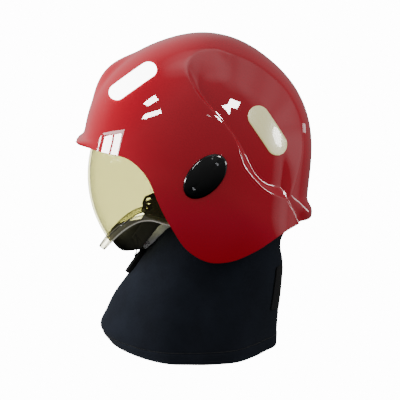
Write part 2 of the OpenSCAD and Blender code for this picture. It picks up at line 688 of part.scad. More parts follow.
// Ratchet at the nape: a curved housing with a boss and pin, and the knob that turns on it
module ratchet_housing() {
    color("#1d1d1f") {
        round_band(158, 202, 12, -13, 13, 0.2, 3.4);
        at_knob() translate([0, 0, -knob_gap - 8]) cylinder(d = knob_d - 6, h = 8);
        at_knob() translate([0, 0, -knob_gap - 4])
            cylinder(d = knob_pin_d, h = knob_t + knob_gap + 2.5);
    }
}
module at_knob() {
    translate([0, knob_y, band_back_z]) rotate([-90, 0, 0]) children();
}
module ratchet_knob() {
    grips = 12;
    color("#161617") at_knob() difference() {
        cylinder(d = knob_d, h = knob_t);
        translate([0, 0, -1]) cylinder(d = knob_pin_d + pin_clear, h = knob_t + 2);
        for (k = [0:grips - 1])
            rotate([0, 0, k * 360 / grips]) translate([knob_d / 2 + 1, 0, 2])
                cylinder(d = 5, h = knob_t, $fn = 24);
    }
}

// A flat strap along a path, its face turned away from the head's upright axis
module webbing(path, width, thick) {
    p = through(path, 3);
    last = len(p) - 1;
    rows = [for (i = [0:last])
        let (run = p[min(last, i + 1)] - p[max(0, i - 1)], along = run / norm(run),
            away = [p[i][0], p[i][1] * 0.4, 0], side = cross(along, away),
            across = side / norm(side), face = cross(across, along))
        [p[i] - across * width / 2, p[i] + across * width / 2, face * thick]];
    skin([for (r = rows) [r[0] + r[2], r[1] + r[2]]], [for (r = rows) [r[0], r[1]]]);
}

module chin_cup() {
    across = [for (j = [0:12]) j / 6 - 1];
    profile = through(cup_line, 2);
    wrap = through(cup_wrap, 2);
    function shape(drop) = [for (i = [0:len(profile) - 1]) [for (u = across)
        let (q = profile[i] + drop * cup_side(i, profile), bow = pow(abs(u), 2.2))
        [cup_half_w * sin(82 * u) * (1 - 0.12 * i / len(profile))
            + sign(u) * drop * bow, q[0] + wrap[i] * bow, q[1] + cup_rise * bow]]];
    color("#141415") skin(shape(0), shape(-cup_t));
}
function cup_side(i, line) = let (a = line[max(0, i - 1)], b = line[min(len(line) - 1, i + 1)],
        d = (b - a) / norm(b - a)) [d[1], -d[0]];

module chin_strap(side) {
    color("#17181a") on_side(side) webbing(chin_path, web_w, web_t);
}
module temple_strap(side) {
    color("#17181a") on_side(side) webbing(temple_path, web_w, web_t);
}
module nape_strap(side) {
    color("#6d6e6c") on_side(side) webbing(nape_path, nape_w, web_t);
}

// Plate that parts the straps, with its round hole and a rivet in its front lug
module on_divider(side) {
    on_side(side) translate(divider_mid) rotate([0, 90, divider_turn]) children();
}
module strap_divider(side) {
    color("#0e0e0f") on_divider(side) linear_extrude(divider_t) difference() {
        hull() {
            circle(d = divider_hole_d + 2 * divider_rim);
            translate(divider_lug) circle(d = divider_lug_d);
            for (at = divider_back)
                translate(at) circle(d = divider_corner_d);
        }
        circle(d = divider_hole_d);
        translate(divider_lug) circle(d = rivet_d + 0.2);
    }
}
module divider_rivets() {
    for (side = [LEFT, RIGHT])
        color("#55575a") on_divider(side) translate(divider_lug) {
            translate([0, 0, -rivet_head_h - 0.05]) cylinder(d = rivet_head_d, h = rivet_head_h);
            translate([0, 0, -rivet_head_h / 2]) cylinder(d = rivet_d, h = divider_t + rivet_head_h);
            translate([0, 0, divider_t + 0.05]) cylinder(d = rivet_head_d, h = rivet_head_h);
        }
}

// Outward direction of the dome at a place
function dome_normal(y, z) = let (r = norm([y, z]), e = atan2(z, -y), x = dome_x(y, z),
        k = pow(r / dome_r(e), dome_n - 1) / dome_r(e) / max(r, 0.1),
        g = [pow(x / shell_half_w, dome_n - 1) / shell_half_w, k * y, k * z])
    g / norm(g);

// Riveted discs that hold the straps' ends to the shell
module strap_anchors() {
    for (side = [LEFT, RIGHT], at = [temple_anchor, nape_anchor])
        color("#707276") on_side(side) let (n = dome_normal(at[0], at[1]))
            translate([dome_x(at[0], at[1]), at[0], at[1]] - n * (shell_wall + anchor_gap + anchor_t))
                rotate([0, acos(n[2]), atan2(n[1], n[0])]) cylinder(d = anchor_d, h = anchor_t);
}
// Where a strap meets its anchor, under the disc
function anchor_point(at) = [dome_x(at[0], at[1]), at[0], at[1]]
    - dome_normal(at[0], at[1]) * (shell_wall + anchor_gap + anchor_t + web_t + strap_gap);

// Neck curtain: closed ovals from the shell's rim down to the hem
function row_at(list, k) = let (i = min(floor(k), len(list) - 2)) mix(list[i], list[i + 1], k - i);
function curtain_point(a, k, off) = let (
        fold = (a > 60 && a < 300 ? 1 : 0.25) * fold_depth * k / hem * sin(curtain_folds * a),
        front = row_at(curtain_front, k), back = row_at(curtain_back, k),
        wide = row_at(curtain_wide, k), sag = row_at(curtain_side_z, k),
        b = min((a + 360) % 360, 360 - (a + 360) % 360),
        lift = row_at(corner_lift, k) * ramp((b - 20) / 25) * ramp((100 - b) / 50),
        mid = (front[0] + back[0]) / 2, half = (back[0] - front[0]) / 2,
        share = (1 + cos(a)) / 2,
        z = mix(mix(back[1], front[1], share), sag, pow(sin(a), 2)) + lift)
    [(wide + off + fold) * sin(a), mid - (half + off + fold * 0.6) * cos(a), z];
module neck_curtain() {
    cols = 56;
    function side(off) = [for (k = [0:hem]) [for (j = [0:cols - 1])
        curtain_point(j * 360 / cols, k, off)]];
    color("#12161c") skin(side(0), side(-curtain_t), true);
}
module curtain_patch(from, to, cols, levels, off, thick) {
    function side(off) = [for (k = levels) [for (j = [0:cols])
        curtain_point(mix(from, to, j / cols), k, off)]];
    skin(side(off + thick), side(off));
}
module curtain_tab() {
    color("#0b0c0e") curtain_patch(-tab_reach, tab_reach, 6, tab_rows, 0.1, tab_t);
}
module curtain_strip() {
    color("#0b0c0e") curtain_patch(strip_from, strip_to, 4, strip_rows, 0.1, 1.6);
}
// Short tape between the chin cup and the tab
module tab_loop() {
    color("#141416") side_prism(loop_line, loop_w);
}
// Press studs along the curtain's top edge
module curtain_studs() {
    for (a = stud_bearings) {
        at = curtain_point(a, stud_row, 0.15);
        n = cross(curtain_point(a + 2, stud_row, 0) - curtain_point(a - 2, stud_row, 0),
            curtain_point(a, stud_row + 0.1, 0) - curtain_point(a, stud_row - 0.1, 0));
        out = n / norm(n) * (n * [sin(a), -cos(a), 0] < 0 ? -1 : 1);
        color("#56585b") translate(at) rotate([0, acos(out[2]), atan2(out[1], out[0])])
            cylinder(d = stud_d, h = stud_t);
    }
}

outer_shell();
liner_quarter(0);  // liner_front_left
liner_quarter(1);  // liner_back_left
liner_quarter(2);  // liner_back_right
liner_quarter(3);  // liner_front_right
headband();
brow_pad();
nape_pad();
band_hangers();
crown_straps();
ratchet_housing();
ratchet_knob();
pivot_base(LEFT);  // pivot_base_left
pivot_base(RIGHT);  // pivot_base_right
friction_washer(LEFT);  // friction_washer_left
friction_washer(RIGHT);  // friction_washer_right
pivot_caps();
side_cover(LEFT);  // side_cover_left
side_cover(RIGHT);  // side_cover_right
cover_screws();
visor_lens();
visor_hub(LEFT);  // visor_hub_left
visor_hub(RIGHT);  // visor_hub_right
hub_clamp_rings();
front_sticker(LEFT);  // front_sticker_left
front_sticker(RIGHT);  // front_sticker_right
rear_sticker(LEFT);  // rear_sticker_left
rear_sticker(RIGHT);  // rear_sticker_right
chin_cup();
chin_strap(LEFT);  // chin_strap_left
chin_strap(RIGHT);  // chin_strap_right
strap_divider(LEFT);  // strap_divider_left
strap_divider(RIGHT);  // strap_divider_right
temple_strap(LEFT);  // temple_strap_left
temple_strap(RIGHT);  // temple_strap_right
nape_strap(LEFT);  // nape_strap_left
nape_strap(RIGHT);  // nape_strap_right
strap_anchors();
neck_curtain();
curtain_tab();
curtain_strip();
curtain_studs();
divider_rivets();
tab_loop();
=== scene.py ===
# %% [markdown]
# A jet-style fire helmet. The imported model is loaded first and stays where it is. Each piece that
# shows is then either given a better finish or replaced by a finer one in the same place. The
# origin is the middle of the visor's pivot axis, +X is the wearer's left, -Y the front, +Z up.
# %% Load the frame
import json
from math import asin, atan2, copysign, cos, degrees, hypot, pi, radians, sin, sqrt

import bmesh
import bpy
from mathutils import Matrix, Vector


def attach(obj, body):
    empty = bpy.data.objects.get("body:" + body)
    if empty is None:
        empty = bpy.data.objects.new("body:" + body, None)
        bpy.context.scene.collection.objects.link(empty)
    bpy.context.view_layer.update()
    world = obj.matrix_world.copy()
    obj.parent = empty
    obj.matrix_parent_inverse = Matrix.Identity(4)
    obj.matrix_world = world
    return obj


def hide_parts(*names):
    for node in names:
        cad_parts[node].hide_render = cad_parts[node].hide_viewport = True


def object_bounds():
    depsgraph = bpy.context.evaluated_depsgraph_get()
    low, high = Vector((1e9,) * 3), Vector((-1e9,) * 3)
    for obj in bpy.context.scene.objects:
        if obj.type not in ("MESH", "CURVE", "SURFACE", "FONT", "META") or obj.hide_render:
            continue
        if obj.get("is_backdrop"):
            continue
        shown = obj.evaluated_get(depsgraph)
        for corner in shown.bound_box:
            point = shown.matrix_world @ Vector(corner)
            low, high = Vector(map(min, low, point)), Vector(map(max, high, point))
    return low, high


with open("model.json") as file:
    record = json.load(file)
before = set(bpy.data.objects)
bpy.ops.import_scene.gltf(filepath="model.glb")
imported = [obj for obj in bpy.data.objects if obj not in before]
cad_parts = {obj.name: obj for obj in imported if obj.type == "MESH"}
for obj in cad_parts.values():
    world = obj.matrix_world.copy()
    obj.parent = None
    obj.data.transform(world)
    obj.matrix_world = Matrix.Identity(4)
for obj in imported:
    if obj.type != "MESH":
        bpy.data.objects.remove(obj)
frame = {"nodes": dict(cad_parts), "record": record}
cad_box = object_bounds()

MM = 0.001
LEFT, RIGHT = 1, -1
HANDS = ((LEFT, "left"), (RIGHT, "right"))
FINISHES = {}
print("nodes in the frame:", len(frame["nodes"]))

# %% [markdown]
# Most pieces of a helmet are thin walls on a form that a formula describes. So the usual way
# here is to lay the points of a flat bmesh grid on the form and let the operators do the rest:
# merge what meets, mirror the other half, turn the faces outwards. The grid also brings a UV
# map, scaled to metres so that a weave keeps its size.
# %% Lay a grid on a form
def laid_grid(columns, rows, place, size=(1.0, 1.0)):
    """A bmesh grid whose point at column i and row j goes to place(i, j), in millimetres."""
    bm = bmesh.new()
    uv = bm.loops.layers.uv.new("UVMap")
    bmesh.ops.create_grid(bm, x_segments=columns, y_segments=rows, size=1, calc_uvs=True)
    for face in bm.faces:
        for loop in face.loops:
            loop[uv].uv = (loop[uv].uv[0] * size[0], loop[uv].uv[1] * size[1])
    for vertex in bm.verts:
        i = round((vertex.co.x + 1) / 2 * columns)
        j = round((vertex.co.y + 1) / 2 * rows)
        vertex.co = Vector(place(i, j)) * MM
    return bm


def merge(bm, gap):
    bmesh.ops.remove_doubles(bm, verts=bm.verts, dist=gap * MM)


def face_out(bm, way=None):
    """Turns the faces outwards or, on an open sheet, to the side that looks that way."""
    bmesh.ops.recalc_face_normals(bm, faces=bm.faces)
    if way is not None:
        bm.normal_update()
        if sum((face.normal for face in bm.faces), Vector()).dot(Vector(way)) < 0:
            bmesh.ops.reverse_faces(bm, faces=bm.faces)


def add_object(name, data):
    made = bpy.data.objects.new(name, data)
    bpy.context.scene.collection.objects.link(made)
    return made


def mesh_object(bm, name, material):
    mesh = bpy.data.meshes.new(name)
    bm.to_mesh(mesh)
    bm.free()
    mesh.materials.append(material)
    return add_object(name, mesh)


def finish_piece(bm, name, finish, stands_for=(), body="helmet", slot=None, crease=40,
                 wall=0, offset=-1, bevel=0, segments=2, angle=50):
    """Makes the piece of a bmesh and sets it on its body. A wall thickens a sheet, and a bevel
    rounds the edges that turn by more than the angle."""
    bm.normal_update()
    for face in bm.faces:
        face.smooth = True
    for edge in bm.edges:
        if len(edge.link_faces) == 2 and edge.calc_face_angle(0) > radians(crease):
            edge.smooth = False
    piece = mesh_object(bm, name, FINISHES[finish])
    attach(piece, body)
    if stands_for:
        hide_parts(*stands_for)
    if wall:
        thicken = piece.modifiers.new("wall", "SOLIDIFY")
        thicken.thickness = wall * MM
        thicken.offset = offset
    if bevel:
        rounded = piece.modifiers.new("edges", "BEVEL")
        rounded.width = bevel * MM
        rounded.segments = segments
        rounded.limit_method = "ANGLE"
        rounded.angle_limit = radians(angle)
    print(name, len(piece.data.polygons), "faces")
    return piece


def grid_piece(name, finish, stands_for, grid, gap=0.01, half=False, holes=None, way=None, **made):
    """A piece laid as a grid: merged, mirrored if the grid is one half, and turned outwards."""
    bm = laid_grid(*grid)
    merge(bm, gap)
    if half:
        bmesh.ops.mirror(bm, geom=bm.verts[:] + bm.edges[:] + bm.faces[:], axis="X",
                         merge_dist=0.02 * MM)
    if holes is not None:
        bmesh.ops.holes_fill(bm, edges=bm.edges, sides=holes)
    face_out(bm, way)
    return finish_piece(bm, name, finish, stands_for, **made)


# %% [markdown]
# Finishes are made of shader nodes, which are long to write out one by one. So this small class
# wraps a socket: sums on it add Math nodes, and one method adds any other node.
# %% Shader sums
class Wire:
    """A socket that takes part in Python sums."""

    def __init__(self, tree, socket=None):
        self.tree = tree
        self.socket = socket

    def node(self, kind, sockets=None, output=0, **settings):
        made = self.tree.nodes.new("ShaderNode" + kind)
        for key, value in settings.items():
            setattr(made, key, value)
        for key, value in (sockets or {}).items():
            if isinstance(value, Wire):
                self.tree.links.new(value.socket, made.inputs[key])
            else:
                made.inputs[key].default_value = value
        return Wire(self.tree, made.outputs[output] if made.outputs else None)

    def sum(self, operation, *values):
        return self.node("Math", dict(enumerate(values)), operation=operation)

    def __add__(self, other):
        return self.sum("ADD", self, other)

    def __rsub__(self, other):
        return self.sum("SUBTRACT", other, self)

    def __mul__(self, other):
        return self.sum("MULTIPLY", self, other)

    def levels(self, *stops):
        """Maps this value through a ramp of (place, level) stops."""
        made = self.node("ValToRGB", {0: self})
        elements = made.socket.node.color_ramp.elements
        while len(elements) < len(stops):
            elements.new(0.5)
        for element, (place, level) in zip(elements, stops):
            element.position = place
            element.color = (level, level, level, 1)
        return made

    def between(self, low, high):
        """A colour that goes from low to high as this value goes from 0 to 1."""
        return self.node("Mix", {0: self, 6: low, 7: high}, output=2, data_type="RGBA")


def paint(red, green, blue):
    """A colour given as it looks on a screen, from 0 to 255, as the linear colour of a shader."""
    def linear(level):
        level /= 255
        return level / 12.92 if level < 0.04045 else ((level + 0.055) / 1.055) ** 2.4
    return (linear(red), linear(green), linear(blue), 1)


def new_finish(name):
    """An empty material, as the wire that its nodes are added to."""
    material = FINISHES[name] = bpy.data.materials.new(name)
    material.use_nodes = True
    material.node_tree.nodes.clear()
    return Wire(material.node_tree)


def own_place(wire):
    return wire.node("TexCoord", output=3)


def noise(wire, scale, detail, rough=0.5, place=None):
    return wire.node("TexNoise", {"Vector": place or own_place(wire), "Scale": scale,
                                  "Detail": detail, "Roughness": rough})


def bump(wire, height, depth, strength):
    return wire.node("Bump", {"Height": height, "Distance": depth * MM, "Strength": strength})


def surface(wire, **sockets):
    """The Principled shader with its sockets, wired to the output. Names use _ for a space."""
    shader = wire.node("BsdfPrincipled", {k.replace("_", " "): v for k, v in sockets.items()})
    wire.node("OutputMaterial", {"Surface": shader})


# %% [markdown]
# The shell is glass-fibre under a thick glossy red paint. Close up, such paint has the faint
# ripple of orange peel and a few dull rub marks. The colour layer is softly rough, and a clear
# coat on top gives the sharp reflections.
# %% Paint and hard plastics
wire = new_finish("red_gloss")
rub = noise(wire, 38, 6, 0.65).levels((0.46, 0), (0.7, 1))
shade = noise(wire, 9, 2).levels((0.3, 0), (0.7, 1))
surface(wire, Base_Color=shade.between(paint(176, 18, 38), paint(184, 23, 43)),
        Roughness=rub * 0.1 + 0.3, Specular_IOR_Level=0.0, Coat_Weight=1.0,
        Coat_Roughness=0.02, Coat_IOR=1.55, Normal=bump(wire, noise(wire, 420, 2), 0.02, 0.25))


def moulded(name, colour, lighter, roughness, grain=900, depth=0.03, coat=0.0, shine=0.4):
    """A moulded plastic or rubber with a fine even grain and a little wear."""
    wire = new_finish(name)
    worn = noise(wire, 45, 5, 0.6).levels((0.45, 0), (0.75, 1))
    surface(wire, Base_Color=worn.between(colour, lighter), Roughness=worn * 0.12 + roughness,
            Coat_Weight=coat, Coat_Roughness=0.04, Specular_IOR_Level=shine,
            Normal=bump(wire, noise(wire, grain, 2), depth, 0.5))


moulded("black_plastic", paint(28, 28, 30), paint(42, 42, 44), 0.42)
moulded("black_gloss", paint(5, 6, 7), paint(9, 10, 11), 0.2, 500, 0.01, 0.8, 0.05)
moulded("chin_cup_rubber", paint(20, 20, 21), paint(34, 34, 35), 0.5, 1400, 0.05)
moulded("washer_plastic", paint(212, 200, 160), paint(225, 215, 182), 0.35)

# %% [markdown]
# The screws and pins are plated steel. Turning leaves fine marks round them, which are a noise
# stretched along one axis.
# %% Plated steel
wire = new_finish("plated_steel")
stretched = wire.node("Mapping", {"Vector": own_place(wire), "Scale": (1, 1, 9)})
marks = noise(wire, 300, 4, 0.7, stretched)
surface(wire, Base_Color=paint(176, 178, 182), Metallic=1.0, Roughness=marks * 0.25 + 0.22,
        Normal=bump(wire, marks, 0.02, 0.4))

# %% [markdown]
# The liner is moulded foam: thousands of beads pressed together, so a Voronoi pattern gives the
# cells and the fine lines between them.
# %% Foam
FOAM_CELLS = 300
wire = new_finish("liner_foam")
beads = {"Vector": own_place(wire), "Scale": FOAM_CELLS}
edge = wire.node("TexVoronoi", beads, feature="DISTANCE_TO_EDGE").levels((0.0, 0), (0.09, 1))
grey = wire.node("TexVoronoi", beads)
surface(wire, Base_Color=(grey * edge).between(paint(38, 38, 38), paint(66, 66, 64)),
        Roughness=0.86, Normal=bump(wire, edge, 0.12, 0.6))

# %% [markdown]
# Cloth and webbing are woven. Their UV maps are in metres, so the threads keep one size and
# follow the strap or the curtain round its bends. A weave is two rows of sine waves at right
# angles, and a twill shifts the rows step by step, which gives diagonal lines.
# %% Woven finishes
def threads(wire, pitch, slant):
    """Height of a weave, from 0 to 1, with that many metres from thread to thread."""
    parts = wire.node("SeparateXYZ", {0: wire.node("TexCoord", output=2)})
    across = Wire(wire.tree, parts.socket.node.outputs[1])
    turns = 2 * pi / pitch
    warp = wire.sum("SINE", parts * turns + across * (turns * slant))
    return warp * wire.sum("SINE", across * turns) * 0.5 + 0.5


def woven(name, colour, lighter, pitch, slant, roughness, sheen, shine=0.2):
    wire = new_finish(name)
    height = threads(wire, pitch, slant)
    faded = noise(wire, 22, 4, 0.6).levels((0.35, 0), (0.75, 1))
    fuzz = noise(wire, 1600, 2)
    surface(wire, Base_Color=(height * 0.6 + faded * 0.4).between(colour, lighter),
            Roughness=height * 0.1 + roughness, Sheen_Weight=sheen, Sheen_Roughness=0.4,
            Specular_IOR_Level=shine, Normal=bump(wire, height + fuzz * 0.4, 0.12, 0.7))


TWILL, PLAIN = 0.5, 0.0
for name, colour, lighter, *more in (
        ("navy_cloth", (24, 25, 29), (37, 42, 51), 0.0009, TWILL, 0.85, 0.03, 0.0),
        ("black_webbing", (17, 17, 18), (36, 36, 38), 0.0016, TWILL, 0.6, 0.2),
        # The grey webbing's light grey is partly painted sheen: raised to reach the brightness of
        # its satin glint.
        ("grey_webbing", (150, 152, 152), (222, 225, 225), 0.0016, TWILL, 0.4, 0.2, 0.9),
        ("crown_webbing", (40, 40, 38), (66, 65, 60), 0.0018, PLAIN, 0.75, 0.2),
        ("sweatband", (54, 43, 35), (84, 68, 55), 0.0024, PLAIN, 0.7, 0.2)):
    woven(name, paint(*colour), paint(*lighter), *more)

# %% [markdown]
# Hook-and-loop tape is a felt of tiny stiff threads, which a strong fine noise gives.
# %% Hook and loop
wire = new_finish("black_fastener")
loops = noise(wire, 700, 6, 0.8)
surface(wire, Base_Color=loops.between(paint(6, 6, 7), paint(30, 30, 32)), Roughness=0.92,
        Sheen_Weight=0.04, Specular_IOR_Level=0.05, Normal=bump(wire, loops, 0.5, 0.9))

# %% [markdown]
# The stickers are reflective sheeting: a clear film over a honeycomb of tiny beads or prisms.
# The cells are a Voronoi pattern with a regular lattice, barely visible from here. Each sticker
# also has a painted glow: an emission that keeps it bright whatever light falls on it.
# %% Reflective sheeting
def sheeting(name, colour, darker, painted_glow):
    """Painted glow is the colour of an emission: the sheeting glows with it whatever light falls on
    it.
    """
    wire = new_finish(name)
    cells = wire.node("TexVoronoi", {"Vector": own_place(wire), "Scale": 420, "Randomness": 0.15},
                      feature="DISTANCE_TO_EDGE")
    edge = cells.levels((0.02, 0), (0.14, 1))
    dirt = noise(wire, 60, 4).levels((0.4, 1), (0.75, 0.8))
    # The emission adds the painted glow, the same whatever light falls on the sticker.
    surface(wire, Base_Color=(edge * dirt).between(darker, colour), Roughness=0.3,
            Coat_Weight=0.7, Coat_Roughness=0.05, Normal=bump(wire, edge, 0.01, 0.3),
            Emission_Color=painted_glow, Emission_Strength=1.0)


# The last colour of each sticker is its painted glow.
sheeting("white_reflective", paint(250, 250, 248), paint(236, 237, 236), (9, 9, 9, 1))
sheeting("silver_reflective", paint(222, 216, 180), paint(206, 200, 165), (0.38, 0.36, 0.12, 1))

# %% [markdown]
# The visor is clear pale amber. Both its faces are modelled, so one ray passes the tint twice.
# It shows what lies behind it, plus a reflection that grows towards grazing angles: a Transparent
# and a Principled shader are mixed by how far the face turns from the view. Across the moulded
# lip lie two painted bands: a painted highlight, lighter, and a painted shade, darker.
# %% Amber visor
# Colours and places of the painted highlight band and the painted shade band across the lip.
LIP_PAINTED_HIGHLIGHT = paint(250, 249, 240)
LIP_PAINTED_SHADE = paint(30, 28, 22)
LIP_PAINTED_HIGHLIGHT_BAND = [(0.19, 0), (0.23, 1), (0.28, 1), (0.31, 0)]
LIP_PAINTED_SHADE_BAND = [(0.43, 0), (0.46, 1), (0.52, 1), (0.56, 0)]


def amber(name, body, tint, roughness, moulded_lip=False):
    wire = new_finish(name)
    haze_and_painted_bands = 0.0
    if moulded_lip:
        # Painted highlight and painted shade: a lighter and a darker band are laid across the lip's
        # colour.
        across = wire.node("SeparateXYZ", {0: wire.node("TexCoord", output=2)}, output=1)
        painted_highlight, painted_shade = across.levels(*LIP_PAINTED_HIGHLIGHT_BAND), across.levels(*LIP_PAINTED_SHADE_BAND)
        body = painted_shade.between(painted_highlight.between(body, LIP_PAINTED_HIGHLIGHT), LIP_PAINTED_SHADE)
        haze_and_painted_bands = painted_highlight * 0.6 + painted_shade * 0.6 + 0.1
    smear = noise(wire, 14, 5, 0.6).levels((0.5, 0), (0.8, 1))
    gloss = wire.node("BsdfPrincipled", {"Base Color": body,
                                         "Roughness": smear * 0.06 + roughness})
    clear = wire.node("BsdfTransparent", {"Color": tint})
    tilt = wire.node("LayerWeight", {"Blend": 0.5}, output=1)
    squared = tilt * tilt
    grazing = squared * squared * tilt * 0.97 + 0.034
    share = grazing * 0.5 + smear * 0.02 + haze_and_painted_bands
    wire.node("OutputMaterial",
              {"Surface": wire.node("MixShader", {0: share, 1: clear, 2: gloss})})


amber("amber_clear", paint(226, 216, 176), (0.57, 0.565, 0.42, 1), 0.03)
amber("amber_lip", paint(225, 222, 198), (0.74, 0.73, 0.62, 1), 0.06, True)
print("finishes:", ", ".join(FINISHES))

# %% [markdown]
# The shell's form comes from a side view given as a radius about the pivots, a cross-section that
# is a superellipse, and two lines in side view: the edge of the sunk panel behind the rib, and
# the foot of its wall. These are the construction model's values, so the fine shell lies on the
# coarse one. Only the brim's upturn is narrower here than there.
# %% The shell's lines
SHELL_HALF_W = 118
SHELL_WALL = 3.2
RECESS = 6
CREST = 6
CREST_HALF_W = 32
CREST_E = 48.5
CREST_REACH = 15
CREST_FADE = 18
BRIM_FLARE = 8
FLARE_FULL, FLARE_GONE = 26, 66
TAIL_FLARE = 9
CREASE_STEP = 2.5
DOME_N = 2.3
DOME_RADII = [158, 149, 160, 169.5, 172.5, 174.5, 179.5, 178, 170, 165, 156.5, 146,
              137.5, 138, 151, 182, 198, 205, 205, 205, 205, 200, 192, 178]
RIM_LINE = [(-134, 32.5), (-116, 27), (-91, 21), (-72.6, 7), (-57, -21), (-40, -56), (-21, -84),
            (3.6, -98.7), (30, -98.7), (58, -88), (83.4, -73), (113.5, -59), (131.6, -52)]
BRIM_E = 14.2
TAIL_E = 198.1
EDGE_LINE = [(101, -29.5), (113, -5), (121, 30), (120, 69), (112, 88), (98.5, 107.5), (80, 124),
             (55, 139), (30, 147), (11.5, 152), (-8, 147), (-20, 127), (-12, 100), (3, 80),
             (23, 58), (32, 46), (43, 14), (54, -1), (75, -19), (101, -29.5)]
FLOOR_LINE = [(95, -13), (96, 6), (96, 25), (95, 50), (88, 75), (73, 97), (52, 112), (28, 120),
              (8, 121), (-3, 112), (-4, 100), (13.5, 77), (29.4, 58), (39.5, 44), (50, 27),
              (56, 14), (64, 1), (75.5, -8), (95, -13)]
PANEL_MID = (60, 60)


def mix(a, b, t):
    return a + (b - a) * t


def ramp(t):
    t = max(0.0, min(1.0, t))
    return t * t * (3 - 2 * t)


def curve_through(points, steps):
    """A smooth curve through points, as the construction model draws it."""
    points = [Vector(p) for p in points]
    last = len(points) - 1
    line = []
    for i in range(last):
        a, b, c, d = points[max(0, i - 1)], points[i], points[i + 1], points[min(last, i + 2)]
        for k in range(steps):
            t = k / steps
            line.append(0.5 * (2 * b + (c - a) * t + (2 * a - 5 * b + 4 * c - d) * t ** 2
                               + (3 * b - a - 3 * c + d) * t ** 3))
    return line + [points[last]]


def dome_r(e):
    """Radius of the side view at e degrees from the front, over the top."""
    u = (e + 360) / 15
    i, t = int(u), u % 1
    r = [DOME_RADII[(i + k) % 24] for k in (-1, 0, 1, 2)]
    return ((1 - t) ** 3 * r[0] + (3 * t ** 3 - 6 * t ** 2 + 4) * r[1]
            + (3 * t + 3 * t ** 2 - 3 * t ** 3 + 1) * r[2] + t ** 3 * r[3]) / 6


def dome(e, s):
    """A point of the plain dome: s goes from 0 at the pivot to 1 at the middle plane."""
    a = radians(90 * s)
    r = dome_r(e) * max(0.0, sin(a)) ** (2 / DOME_N)
    e = radians(e)
    return Vector((SHELL_HALF_W * max(0.0, cos(a)) ** (2 / DOME_N), -r * cos(e),
                   r * sin(e)))


def dome_x(y, z):
    r = dome_r(degrees(atan2(z, -y)))
    return SHELL_HALF_W * max(0.0, 1 - (hypot(y, z) / r) ** DOME_N) ** (1 / DOME_N)


def disc(point):
    """A place in side view, on the flat disc that the dome is laid out on."""
    y, z = point
    e = atan2(z, -y)
    s = asin(min(1.0, (hypot(y, z) / dome_r(degrees(e))) ** (DOME_N / 2)))
    return Vector((-cos(e), sin(e))) * s / radians(90)


def crest(e, x):
    """How far the crest over the forehead stands up."""
    if abs(e - CREST_E) > CREST_REACH:
        return 0.0
    lift = cos(radians(90 * (e - CREST_E) / CREST_REACH)) ** 1.5
    return CREST * lift * (1 - ramp((abs(x) - CREST_HALF_W + CREST_FADE / 2) / CREST_FADE))


def unit(turn):
    return Vector((cos(radians(turn)), sin(radians(turn))))


def bearing(a, rise):
    """A direction: a degrees from the front towards the wearer's left, and rise above level."""
    a, rise = radians(a), radians(rise)
    return Vector((sin(a) * cos(rise), -cos(a) * cos(rise), sin(rise)))


def rim_end(e):
    """Where the rim meets the middle plane, on the disc."""
    return Vector((-cos(radians(e)), sin(radians(e))))


panel_mid = disc(PANEL_MID)
rim_disc = [rim_end(BRIM_E)] + [disc(p) for p in RIM_LINE] + [rim_end(TAIL_E)]
rim_curve, edge_curve, floor_curve = (
    curve_through(line, 8)
    for line in (rim_disc, [disc(p) for p in EDGE_LINE], [disc(p) for p in FLOOR_LINE]))
print("points on the rim, edge and floor lines:", len(rim_curve), len(edge_curve),
      len(floor_curve))

# %% [markdown]
# The grid's columns are rays from the middle of the sunk panel, and its rows go from there over
# the panel's wall to the rim or the middle plane. So the rib's edges follow a row and stay crisp
# with few faces. The wall's profile gives each edge a small fillet.
# %% Rays and reaches
def cross2(a, b):
    return a[0] * b[1] - a[1] * b[0]


def reach(line, phi):
    """Distance from the panel's middle to a line, along a direction."""
    d = unit(phi)
    best = 9.0
    for a, b in zip(line, line[1:]):
        p, q = a - panel_mid, b - a
        den = cross2(d, q)
        if abs(den) > 1e-9:
            t, u = cross2(p, q) / den, cross2(p, d) / den
            if t > 0 and -1e-4 < u < 1.0001:
                best = min(best, t)
    return best


def reach_middle(phi):
    k = panel_mid.dot(unit(phi))
    return -k + sqrt(k * k - panel_mid.dot(panel_mid) + 1)


def toward(point):
    d = point - panel_mid
    return degrees(atan2(d[1], d[0])) % 360


CREASE = 0.5
TAIL_RAYS, MIDDLE_RAYS, RIM_RAYS = 6, 44, 34
FIRST, LAST = TAIL_RAYS, TAIL_RAYS + MIDDLE_RAYS
ALL_RAYS = LAST + RIM_RAYS
corner_phi = toward(disc(EDGE_LINE[0]))
RAYS = [(0, corner_phi + CREASE), (FIRST, toward(rim_disc[-1])), (LAST, toward(rim_disc[0]) + 360),
        (ALL_RAYS, corner_phi + 360 - CREASE), (ALL_RAYS + 1, corner_phi + 360 + CREASE)]


def ray_phi(u):
    """Direction of ray u. The last unit closes the crease below the panel's corner."""
    for (a, start), (b, stop) in zip(RAYS, RAYS[1:]):
        if u <= b:
            return mix(start, stop, (u - a) / (b - a))


def reaches(u):
    phi = ray_phi(u)
    foot = reach(floor_curve, phi)
    edge = max(reach(edge_curve, phi), foot + 0.02)
    end = reach_middle(phi) if FIRST <= u <= LAST else reach(rim_curve, phi)
    return foot, edge, max(end, edge + 0.02)


end_first, end_last = reaches(FIRST)[2], reaches(LAST)[2]
RIM_BLEND = 12
FAR_OFF = 3.0


def rim_reach(u, end):
    """How far the rim is along a ray. Rays to the middle plane never come to it."""
    if not FIRST <= u <= LAST:
        return end
    if u - FIRST < RIM_BLEND:
        return mix(end_first, FAR_OFF, (u - FIRST) / RIM_BLEND)
    return mix(end_last, FAR_OFF, min(1, (LAST - u) / RIM_BLEND))


FILLET = 0.22


